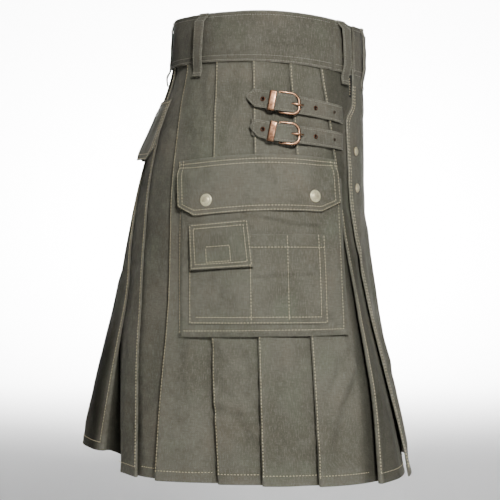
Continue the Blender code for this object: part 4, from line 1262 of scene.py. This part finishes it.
def patch_out(y, z):
    """On top of the bag: 1.3 mm above it at its border, and puffed between its rows of thread."""
    u, v = [np.clip(share, 0, 1) for share in shares_at(PATCH, y, z)]
    near = np.minimum.reduce([np.abs(u - seam) for seam in (0, *PATCH_SEAMS, 1)])
    puff = np.clip(near / 0.09, 0, 1) ** 0.6 * np.clip(np.sin(np.pi * v), 0, 1) ** 0.5
    return body_out(y, z) + (1.35 + 0.9 * puff) * MM


# %% Places on the pocket pieces
def place_body(u, v):
    y, z = four_sided(POCKET_BODY, u, v)
    z = z + flap_arch(u, 0) * (1 - v)
    return y, z, body_out(y, z)


def place_flap(u, v):
    """The flap: a flat sewn strip at the top, then a roll out over the bag. Its lower corners are
    cut off, and its foot waves a little and is drawn in at the two snaps."""
    y, z = four_sided(POCKET_FLAP, u, v)
    corner = np.clip(np.maximum(1 - u / FLAP_CUT[0], 1 - (1 - u) / FLAP_CUT[1]), 0, 1)
    z = z + flap_arch(u, v) + corner * FLAP_CORNER * v
    out = smooth(v, (0, 0.07, 0.13, 0.17, 0.32, 1), (1.75, 2.3, 2.6, 3.6, 7.1, 7.7)) * MM
    out = out + v * v * MM * (0.9 * np.sin(9.2 * u + 0.7) + 0.5 * np.sin(21 * u))
    pull = sum(bell(np.hypot(y - sy, z - sz), 0, 14 * MM) for sy, sz in SNAPS)
    return y, z, out + line_bells(POCKET_DENTS, y, z) * v - 1.1 * MM * pull


def place_patch(u, v):
    y, z = four_sided(PATCH, u, v)
    return y, z, patch_out(y, z)


def place_small(u, v):
    y, z = four_sided(SMALL_FLAP, u, v)
    lift = smooth(v, (0, 0.3, 1), (1.7, 3.0, 5.4)) * MM + 0.5 * MM * v * np.sin(7 * u + 1)
    return y, z, np.maximum(patch_out(y, np.minimum(z, PATCH[0, 2])), 6.0 * MM) + lift


def place_back(side):
    def place(u, v):
        """The back pocket's flap stands off the skirt at its foot; its lower corners are cut."""
        foot = (-160 + 14 * np.clip((np.abs(2 * u - 1) - 0.55) / 0.45, 0, 1)) * MM
        out = smooth(v, (0, 0.12, 0.2, 0.5, 1), (1.75, 2.3, 3.4, 6.0, 11.0)) * MM
        out = out + v * v * 0.8 * MM * np.sin(8 * u + 0.5)
        return (3.5 + 29 * u + 1.5 * v) * side, blend(-79 * MM, foot, v), out
    return place


# %% Sewing one flat piece on
def sewn_piece(name, node, place, size, thick, side, look, pitch=3.0 * MM, rim=1.0 * MM, hip=True):
    """A closed shell whose half thickness falls to a quarter along a quarter circle at its rim."""
    u, v = np.meshgrid(fine_steps(size[0], pitch), fine_steps(size[1], pitch))
    across, z, out = place(u, v)
    inside = np.minimum(np.minimum(u, 1 - u) * size[0], np.minimum(v, 1 - v) * size[1])
    half = thick / 2 * (0.25 + 0.75 * eased(inside, rim))
    put = (lambda o: on_hip(across, z, o, side)) if hip else (lambda o: on_ring(across, z, o))
    uv = np.stack([u * size[0], -v * size[1]], axis=-1)
    wear = np.clip(bell(inside, 0, 1.3 * MM) * 0.5, 0, 1)
    item = shell(name, put(out + half), put(out - half), look, uv, wear, np.zeros(u.shape))
    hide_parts(node)
    return item


def thread_on(group, place, u, v, thick, side, hip=True):
    """A row of thread over a line of u and v on a piece."""
    across, z, out = place(np.asarray(u, float), np.asarray(v, float))
    if hip:
        stitch_line(group, on_cloth("hip", across, z, out + thick / 2, side))
    else:
        stitch_line(group, on_cloth("round", across, z, out + thick / 2))


def inset_path(size, inset, top=True):
    """Shares u and v of a line that runs inside the border: down one side, along the foot and up
    the other, and back along the top where wanted."""
    a, b = inset / size[0], inset / size[1]
    side_v = np.linspace(b if top else 0.0, 1 - b, 30)
    foot_u = np.linspace(a, 1 - a, 60)
    u = np.concatenate([np.full(30, a), foot_u, np.full(30, 1 - a)])
    v = np.concatenate([side_v, np.full(60, 1 - b), side_v[::-1]])
    if top:
        u = np.concatenate([u, foot_u[::-1]])
        v = np.concatenate([v, np.full(60, b)])
    return u, v


BODY_SIZE = (0.213, 0.203)
FLAP_SIZE = (0.201, 0.071)
PATCH_SIZE = (0.172, 0.114)
SMALL_SIZE = (0.076, 0.059)
BACK_SIZE = (0.074, 0.082)
for label, side in (("right", 1), ("left", -1)):
    sewn_piece("bag_" + label, "pocket_body_" + label, place_body, BODY_SIZE, 1.2 * MM, side, cotton,
               2.1 * MM)
    sewn_piece("flap_" + label, "pocket_flap_" + label, place_flap, FLAP_SIZE, 2.0 * MM, side, cotton, 1.9 * MM)
    sewn_piece("patch_" + label, "pocket_patch_" + label, place_patch, PATCH_SIZE, 1.2 * MM, side, cotton, 1.7 * MM)
    sewn_piece("little_flap_" + label, "small_flap_" + label, place_small, SMALL_SIZE, 1.7 * MM, side, cotton, 2.2 * MM)
    sewn_piece("back_flap_cloth_" + label, "back_flap_" + label, place_back(side), BACK_SIZE, 1.8 * MM, side, cotton, 2.4 * MM, hip=False)
    group = "stitches_pocket_" + label
    for inset, part in ((1.8 * MM, slice(0, 30)), (8.0 * MM, slice(30, 120))):
        u, v = inset_path(BODY_SIZE, inset, top=False)
        thread_on(group, place_body, u[part], v[part], 1.2 * MM, side)
    for inset in (1.7 * MM, 7.0 * MM):
        thread_on(group, place_flap, *inset_path(FLAP_SIZE, inset, top=False), 2.0 * MM, side)
    line = np.linspace(0.01, 0.99, 70)
    for share in (0.077, 0.15):
        thread_on(group, place_flap, line, np.full(70, share), 2.0 * MM, side)
    for inset, part in ((2.0 * MM, slice(0, 120)), (9.0 * MM, slice(30, 120))):
        u, v = inset_path(PATCH_SIZE, inset, top=False)
        thread_on(group, place_patch, u[part], v[part], 1.2 * MM, side)
    thread_on(group, place_patch, line, np.full(70, 0.145), 1.2 * MM, side)
    for share in PATCH_SEAMS:
        thread_on(group, place_patch, np.full(40, share), np.linspace(0.01, 0.985, 40), 1.2 * MM, side)
    for inset in (2.0 * MM, 6.6 * MM):
        thread_on(group, place_small, *inset_path(SMALL_SIZE, inset), 1.7 * MM, side)
    box_u = np.concatenate([np.linspace(0.27, 0.66, 14), np.full(8, 0.66), np.linspace(0.66, 0.27, 14), np.full(8, 0.27)])
    box_v = np.concatenate([np.full(14, 0.52), np.linspace(0.52, 0.85, 8), np.full(14, 0.85), np.linspace(0.85, 0.52, 8)])
    thread_on(group, place_small, box_u, box_v, 1.7 * MM, side)
    for inset in (2.2 * MM, 8.0 * MM):
        thread_on(group, place_back(side), *inset_path(BACK_SIZE, inset, top=False), 1.8 * MM, side, hip=False)
    thread_on(group, place_back(side), np.linspace(0.02, 0.98, 30), np.full(30, 0.05), 1.8 * MM, side, hip=False)
    sew(group)

# %% [markdown]
# ## Straps and holes
#
# Two straps close the kilt on the right hip. Each is a doubled strip with a pointed tip, stitched
# round its edge, with metal-lined holes. A hole is cut through the finished shell with a Boolean
# against a small cylinder, because a grid can't have a hole in it; the cylinders are then removed.

# %% Strap table
STRAPS = (
    # name, height at the apron's edge, at the buckle and at the tip, y of the tip
    ("upper", -93.5 * MM, -87 * MM, -81 * MM, 27 * MM),
    ("lower", -129 * MM, -126.5 * MM, -119.5 * MM, 22.5 * MM),
)
STRAP_START_Y = -99 * MM
BAR_Y = -14.5 * MM
FRAME_END_Y = -37.8 * MM
STRAP_HALF = 11.5 * MM
STRAP_PATH = np.array((
    # y and distance of the strap's middle from the ring
    (-99, -0.9), (-92, 1.7), (-86, 2.2), (-80, 2.5), (-70, 2.5), (-60, 2.6), (-52, 3.0), (-43, 4.0),
    (-38.5, 4.2), (-35, 4.9), (-30, 8.4), (-20, 9.2), (-14.5, 9.2), (-9.6, 9.0), (-0.4, 8.0), (8, 5.6), (27, 3.6),
)) * MM
BAR_OUT = 4.2 * MM
FRAME_END_OUT = 7.3 * MM
WIRE = 1.45 * MM
HOLES = (-60 * MM, -85 * MM, 6 * MM)


def strap_height(strap, y):
    return smooth(-y, (-strap[4], -BAR_Y, -STRAP_START_Y), (strap[3], strap[2], strap[1]))


def strap_out(y):
    return np.interp(y, STRAP_PATH[:, 0], STRAP_PATH[:, 1])


def strap_spot(strap, y, up=0.0, away=0.0):
    """A point on the strap's middle surface, moved up across it or away from it."""
    return on_hip(np.asarray(y, float), strap_height(strap, y) + up, strap_out(y) + away, 1, flat=True)


def strap_axes(strap, y):
    """Origin and the three directions at a place on the strap: along it to the front, across it
    upwards, and outwards."""
    here = strap_spot(strap, y)
    along = strap_spot(strap, y - 2 * MM) - strap_spot(strap, y + 2 * MM)
    along = along / np.linalg.norm(along)
    upward = strap_spot(strap, y, 2 * MM) - here
    outward = np.cross(along, upward)
    outward = outward / np.linalg.norm(outward)
    if np.dot(outward, strap_spot(strap, y, 0.0, 5 * MM) - here) < 0:
        outward = -outward
    return here, along, np.cross(outward, along), outward


# %% Cutting holes
def cut_holes(item, places):
    """Takes rounded plugs out of a piece: each place is origin, three directions, and half sizes
    along and across."""
    plugs = []
    for here, along, across, outward, long, wide in places:
        around = np.linspace(0, 2 * np.pi, 20, endpoint=False)
        ring = here + long * np.cos(around)[:, None] * along + wide * np.sin(around)[:, None] * across
        points = np.concatenate([ring - outward * 5 * MM, ring + outward * 5 * MM])
        index = np.arange(20)
        after = (index + 1) % 20
        faces = np.stack([index, after, after + 20, index + 20], axis=1).tolist()
        faces += [index[::-1].tolist(), (index + 20).tolist()]
        mesh = bpy.data.meshes.new("plug")
        mesh.from_pydata(points.tolist(), [], faces)
        plug = bpy.data.objects.new("plug", mesh)
        bpy.context.scene.collection.objects.link(plug)
        change = item.modifiers.new("hole", "BOOLEAN")
        change.operation = "DIFFERENCE"
        change.solver = "EXACT"
        change.object = plug
        plugs.append(plug)
    bpy.context.view_layer.update()
    graph = bpy.context.evaluated_depsgraph_get()
    finished = bpy.data.meshes.new_from_object(item.evaluated_get(graph))
    before = len(item.data.vertices)
    item.modifiers.clear()
    item.data = finished
    for plug in plugs:
        bpy.data.objects.remove(plug)
    print(item.name, "points before and after the holes:", before, len(finished.vertices))


# %% The two straps
for strap in STRAPS:
    name, tip_y = strap[0], strap[4]
    y = np.concatenate([np.arange(-99, tip_y * 1000 - 12, 1.6), tip_y * 1000 - np.array((11, 9, 7, 5.2, 3.6, 2.3, 1.2, 0.5, 0))]) * MM
    across = np.array((-1, -0.985, -0.95, -0.88, -0.8, -0.7, -0.45, -0.2, 0, 0.2, 0.45, 0.7, 0.8, 0.88, 0.95, 0.985, 1))
    point = np.clip((y - (tip_y - 11 * MM)) / (11 * MM), 0, 1)
    wide = STRAP_HALF * (1 - 0.86 * point ** 1.2)
    curl = 0.5 * MM * np.sin(np.abs(y) * 160)
    rim = np.minimum((1 - np.abs(across))[None, :] * wide[:, None], np.maximum(tip_y - y, 0)[:, None])
    half = 0.95 * MM * (0.25 + 0.75 * eased(rim, 1.0 * MM)) - 0.22 * MM * bell(rim, 2.6 * MM, 0.9 * MM)
    free = np.clip((-y - 45 * MM) / (20 * MM), 0, 1) + np.clip((y - 8 * MM) / (10 * MM), 0, 1)
    out = (strap_out(y) + curl * free)[:, None]
    z = strap_height(strap, y)[:, None] + wide[:, None] * across[None, :]
    spots = [on_hip(y[:, None] + 0 * z, z, out + part, 1, flat=True) for part in (half, -half)]
    uv = np.stack(np.broadcast_arrays(y[:, None], wide[:, None] * across[None, :]), axis=-1)
    wear = np.clip(bell(rim, 0, 1.2 * MM) + 0.35 * bell(y, -52 * MM, 5 * MM)[:, None], 0, 1)
    item = shell("strap_" + name + "_cloth", *spots, strap_cotton, uv, wear, np.zeros(uv.shape[:2]))
    holes = [(*strap_axes(strap, at), 1.9 * MM, 1.9 * MM) for at in HOLES]
    holes.append((*strap_axes(strap, -31.5 * MM), 5.0 * MM, 1.6 * MM))
    cut_holes(item, holes)
    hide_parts("strap_" + name)
    line = y[2:-5]
    keep = STRAP_HALF - 2.6 * MM
    taper = np.interp(line, (tip_y - 10 * MM, tip_y - 3 * MM), (1.0, 0.35))
    seam_y = np.concatenate([line, line[::-1]])
    seam_up = np.concatenate([keep * taper, -keep * taper[::-1]])
    seam_out = 0.75 * MM + np.interp(seam_y, y, curl * free)
    points = strap_spot(strap, seam_y, seam_up, seam_out)
    stitch_line("stitches_straps", (points, strap_spot(strap, seam_y, seam_up, seam_out + 1 * MM) - points))
sew("stitches_straps", 3.4 * MM, 2.6 * MM, 0.36 * MM, look=dull_thread)


# %% Buckle tabs
def flat_offset(plan, distance):
    """A line of y and distance moved sideways along its own normal."""
    step = np.gradient(plan, axis=0)
    normal = np.stack([-step[:, 1], step[:, 0]], axis=1)
    return plan + normal / np.linalg.norm(normal, axis=1, keepdims=True) * distance


for strap in STRAPS:
    turn = 1.3 * MM + 0.3 * MM + 0.6 * MM
    around = np.radians(np.linspace(0, 196, 22))
    lead = np.linspace(21, -10, 20) * MM
    plan = np.concatenate([
        np.stack([lead, np.full(20, 1.62 * MM)], axis=1),
        np.stack([BAR_Y - turn * np.sin(around), BAR_OUT - turn * np.cos(around)], axis=1),
    ])
    across = np.array((-1, -0.97, -0.9, -0.75, -0.3, 0, 0.3, 0.75, 0.9, 0.97, 1)) * 11 * MM
    spots = []
    for part in (0.6 * MM, -0.6 * MM):
        moved = flat_offset(plan, part)
        spots.append(on_hip(moved[:, :1], strap_height(strap, moved[:, :1]) + across, moved[:, 1:], 1, flat=True))
    run = np.concatenate([[0], np.cumsum(np.linalg.norm(np.diff(plan, axis=0), axis=1))])
    uv = np.stack(np.broadcast_arrays(run[:, None], across[None, :]), axis=-1)
    wear = np.broadcast_to(bell(np.abs(across), 11 * MM, 1.2 * MM), uv.shape[:2])
    item = shell("tab_" + strap[0], *spots, strap_cotton, uv, wear, np.zeros(uv.shape[:2]))
    here, along, upward, outward = strap_axes(strap, BAR_Y)
    bar = on_hip(BAR_Y, strap_height(strap, BAR_Y), BAR_OUT, 1, flat=True)
    cut_holes(item, [(bar + outward * 0.6 * MM, along, upward, outward, 4.6 * MM, 2.4 * MM)])
    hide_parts("buckle_tab_" + strap[0])
    edge_y = np.concatenate([np.linspace(4, 19, 10), np.full(14, 19.2), np.linspace(19, 4, 10)]) * MM
    edge_up = np.concatenate([np.full(10, 9.0), np.linspace(9.0, -9.0, 14), np.full(10, -9.0)]) * MM
    points = on_hip(edge_y, strap_height(strap, edge_y) + edge_up, 2.3 * MM, 1, flat=True)
    above = on_hip(edge_y, strap_height(strap, edge_y) + edge_up, 3.3 * MM, 1, flat=True) - points
    stitch_line("stitches_tabs", (points, above))
sew("stitches_tabs", 3.0 * MM, 2.3 * MM, 0.36 * MM, look=dull_thread)

# %% [markdown]
# ## Buckles, keepers and eyelets
#
# A buckle's frame is cast metal, so it is drawn as a section carried along a closed path, with the
# section's up direction taken from the hip below it. Turned pieces, such as the eyelets and snaps,
# are a half outline carried round an axis.

# %% Carried sections
def carried(points, up, section, closed):
    """A section carried along a path: at each point the section's first number goes sideways and
    its second goes up, where sideways is the path's direction crossed with up."""
    ahead = np.roll(points, -1, axis=0) - np.roll(points, 1, axis=0) if closed else np.gradient(points, axis=0)
    ahead = ahead / np.linalg.norm(ahead, axis=1, keepdims=True)
    side = np.cross(ahead, up)
    side = side / np.linalg.norm(side, axis=1, keepdims=True)
    top = np.cross(side, ahead)
    section = np.broadcast_to(section, (len(points),) + np.shape(section)[-2:])
    return points[:, None, :] + side[:, None, :] * section[:, :, :1] + top[:, None, :] * section[:, :, 1:]


def round_section(half_wide, half_high, count=14, power=2.4):
    """A soft rectangle: a superellipse."""
    around = np.linspace(0, 2 * np.pi, count, endpoint=False)
    cosine, sine = np.cos(around), np.sin(around)
    size = (np.abs(cosine) ** power + np.abs(sine) ** power) ** (-1 / power)
    return np.stack([half_wide * size * cosine, half_high * size * sine], axis=1)


def closed_tube(name, points, up, section, look, wear=None):
    grid = carried(points, up, section, True)
    rows, columns = grid.shape[:2]
    # For buckle frames and eyelets these values are a painted highlight along the top of the wire.
    painted_highlight = np.zeros((rows, columns)) if wear is None else wear
    return put_mesh(name, grid, grid_faces(rows, columns, 0, True, True), look, wear=painted_highlight)


def open_tube(name, points, up, sections, look):
    """A tube whose two ends are closed by a fan to the middle of the end ring."""
    grid = carried(points, up, sections, False)
    rows, columns = grid.shape[:2]
    ends = np.stack([grid[0].mean(axis=0), grid[-1].mean(axis=0)])
    count = rows * columns
    ring = np.arange(columns)
    after = (ring + 1) % columns
    fans = np.concatenate([
        np.stack([np.full(columns, count), after, ring], axis=1),
        np.stack([np.full(columns, count + 1), count - columns + ring, count - columns + after], axis=1),
    ])
    points = np.concatenate([grid.reshape(-1, 3), ends])
    return put_mesh(name, points, grid_faces(rows, columns, 0, False, True), look, wear=np.zeros(len(points)), triangles=fans)


def turned(name, profile, place, look, count=40, stretch=1.0):
    """A half outline of radius and height carried round an axis, with a point at both poles."""
    here, along, across, outward = place
    profile = np.asarray(profile, float)
    around = np.linspace(0, 2 * np.pi, count, endpoint=False)
    ring = np.cos(around)[:, None] * along + np.sin(around)[:, None] * across * stretch
    rings = here + profile[1:-1, 0, None, None] * ring[None] + profile[1:-1, 1, None, None] * outward
    poles = here + profile[[0, -1], 1, None] * outward
    rows = len(rings)
    index = np.arange(count)
    after = (index + 1) % count
    total = rows * count
    fans = np.concatenate([
        np.stack([np.full(count, total), after, index], axis=1),
        np.stack([np.full(count, total + 1), total - count + index, total - count + after], axis=1),
    ])
    points = np.concatenate([rings.reshape(-1, 3), poles])
    steep = np.abs(np.gradient(np.gradient(profile[1:-1, 1])))
    worn = np.clip(steep / (0.15 * MM), 0, 1)[:, None] * np.ones((1, count))
    worn = np.concatenate([worn.ravel(), [0, 0.4]])
    return put_mesh(name, points, grid_faces(rows, count, 0, False, True), look, wear=worn, triangles=fans)


# %% Frames, tongues, keepers and eyelets
def path_on_strap(strap, forward, up, out):
    """Points at distances forward of the bar, up across the strap and out from the ring, and the
    outward direction at each."""
    y = BAR_Y - forward
    z = strap_height(strap, y) + up
    points = on_hip(y, z, out, 1, flat=True)
    return points, on_hip(y, z, out + 1 * MM, 1, flat=True) - points


for strap in STRAPS:
    name = strap[0]
    half, bend, length = STRAP_HALF + 0.5 * MM + 1.3 * MM, 9.5 * MM, BAR_Y - FRAME_END_Y
    quarter = np.radians(np.linspace(0, 90, 9))
    side = np.linspace(0, length - bend, 10)[:-1]
    forward = np.concatenate([np.zeros(9), side, length - bend + bend * np.sin(quarter), np.full(7, length),
                              length - bend + bend * np.cos(quarter), side[:0:-1]])
    up = np.concatenate([np.linspace(-half, half, 10)[:-1], np.full(9, half), half - bend + bend * np.cos(quarter),
                         np.linspace(half - bend, bend - half, 9)[1:-1], bend - half - bend * np.sin(quarter), np.full(8, -half)])
    out = BAR_OUT + (FRAME_END_OUT - BAR_OUT) * forward / length + 0.5 * MM * np.sin(np.pi * forward / length)
    points, above = path_on_strap(strap, forward, up, out)
    swell = np.interp(forward, (0, 4 * MM, length * 0.5, length), (1.3, 1.35, 1.55, 1.9)) * MM
    sections = round_section(1.0, 0.82)[None] * swell[:, None, None]
    # Painted highlight: a band along the top of the frame's wire, stored as wear, which the metal brightens.
    painted_highlight = np.broadcast_to(bell(np.linspace(0, 2 * np.pi, 14, endpoint=False), np.pi / 2, 0.7)[None], (len(points), 14))
    item = closed_tube("frame_" + name, points, above, sections, copper, painted_highlight)
    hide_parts("buckle_frame_" + name)

    turn = 1.3 * MM + 0.3 * MM + 1.0 * MM
    eye = np.radians(np.linspace(232, 30, 18))
    path = np.concatenate([
        np.stack([BAR_Y + turn * np.sin(eye), BAR_OUT + turn * np.cos(eye)], axis=1),
        np.array(((-17.5, 6.3), (-22, 6.1), (-27, 6.2), (-30, 7.5), (-33, 9.2), (-36, 10.0), (-39, 10.25), (-41, 10.2), (-42.3, 9.9))) * MM,
    ])
    points, above = path_on_strap(strap, BAR_Y - path[:, 0], 0.0 * path[:, 0], path[:, 1])
    wide = np.interp(np.arange(len(path)), (0, 18, 22, len(path) - 2, len(path) - 1), (1.0, 1.1, 1.45, 1.1, 0.7)) * MM
    high = np.interp(np.arange(len(path)), (0, len(path) - 2, len(path) - 1), (0.85, 0.85, 0.5)) * MM
    sections = np.stack([round_section(a, b, 12) for a, b in zip(wide, high)])
    item = open_tube("tongue_" + name, points, above, sections, copper)
    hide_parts("buckle_prong_" + name)

    here, along, upward, outward = strap_axes(strap, -5.0 * MM)
    wall = 0.7 * MM + 0.95 * MM + 0.45 * MM
    reach = STRAP_HALF + 0.7 * MM + 0.45 * MM
    corner = np.radians(np.linspace(0, 90, 6))
    curve = 1.1 * MM
    quarter = np.stack([np.cos(corner), np.sin(corner)], axis=1) * curve
    middles = ((reach - curve, wall - curve), (curve - reach, wall - curve), (curve - reach, curve - wall), (reach - curve, curve - wall))
    turns = [np.array(((c, -s), (s, c))) for c, s in ((1, 0), (0, 1), (-1, 0), (0, -1))]
    loop = np.concatenate([quarter @ turn_by.T + middle for turn_by, middle in zip(turns, middles)])
    points = here + loop[:, :1] * upward + loop[:, 1:] * outward
    ups = loop / np.linalg.norm(loop, axis=1, keepdims=True)
    away = ups[:, :1] * upward + ups[:, 1:] * outward
    item = closed_tube("keeper_ring_" + name, points, away, round_section(4.6 * MM, 0.62 * MM, 18, 5.0), copper)
    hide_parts("keeper_" + name)

    for number, at in enumerate(HOLES):
        here, along, upward, outward = strap_axes(strap, at)
        around = np.linspace(0, 2 * np.pi, 28, endpoint=False)
        ring = here + outward * 0.95 * MM + 2.45 * MM * (np.cos(around)[:, None] * along + np.sin(around)[:, None] * upward)
        away = np.broadcast_to(outward, ring.shape)
        # Painted highlight: a band along the top of the eyelet's ring, stored as wear, which the metal brightens.
        painted_highlight = np.broadcast_to(bell(np.linspace(0, 2 * np.pi, 10, endpoint=False), np.pi / 2, 0.6)[None], (28, 10))
        item = closed_tube(f"eyelet_{name}_{number + 1}", ring, away, round_section(0.75 * MM, 0.42 * MM, 10, 2.0), rust, painted_highlight)


# %% Snaps and studs
def hip_axes(y, z, out, side):
    """Origin and directions at a place on the hip: forward, up and outwards."""
    here = on_hip(y, z, out, side)
    along = on_hip(y - 2 * MM, z, out, side) - here
    along = along / np.linalg.norm(along)
    upward = on_hip(y, z + 2 * MM, out, side) - here
    outward = np.cross(along, upward)
    outward = outward / np.linalg.norm(outward)
    if np.dot(outward, on_hip(y, z, out + 5 * MM, side) - here) < 0:
        outward = -outward
    return here, along, np.cross(outward, along), outward


SNAP = np.array(((0, -0.3), (7.2, -0.3), (7.55, 0.0), (7.6, 0.45), (7.45, 0.9), (7.0, 1.25), (6.3, 1.5), (5.7, 1.6), (5.3, 1.5),
                 (5.05, 1.35), (4.8, 1.42), (4.5, 1.8), (4.0, 2.2), (3.2, 2.6), (2.3, 2.85), (1.2, 3.0), (0, 3.05))) * MM
STUD = np.array(((0, -0.5), (5.7, -0.5), (6.0, 0.0), (6.05, 0.5), (5.8, 1.0), (5.2, 1.5), (4.2, 2.0), (3.1, 2.35), (1.7, 2.6), (0, 2.7))) * MM
for label, side in (("right", 1), ("left", -1)):
    for number, (y, z) in enumerate(SNAPS):
        out = float(place_flap(*shares_at(POCKET_FLAP, np.array(y), np.array(z)))[2]) + 1.25 * MM
        item = turned(f"snap_cap_{number + 1}_{label}", SNAP * (1.08, 1.0), hip_axes(y, z, out, side), brass)
        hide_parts(f"snap_{number + 1}_{label}")
for number, (y, z) in enumerate(((-116 * MM, -138 * MM), (-118 * MM, -187 * MM))):
    item = turned(f"stud_cap_{number + 1}", STUD, hip_axes(y, z, 1.3 * MM, 1), brass)
    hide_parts(f"apron_stud_{number + 1}")
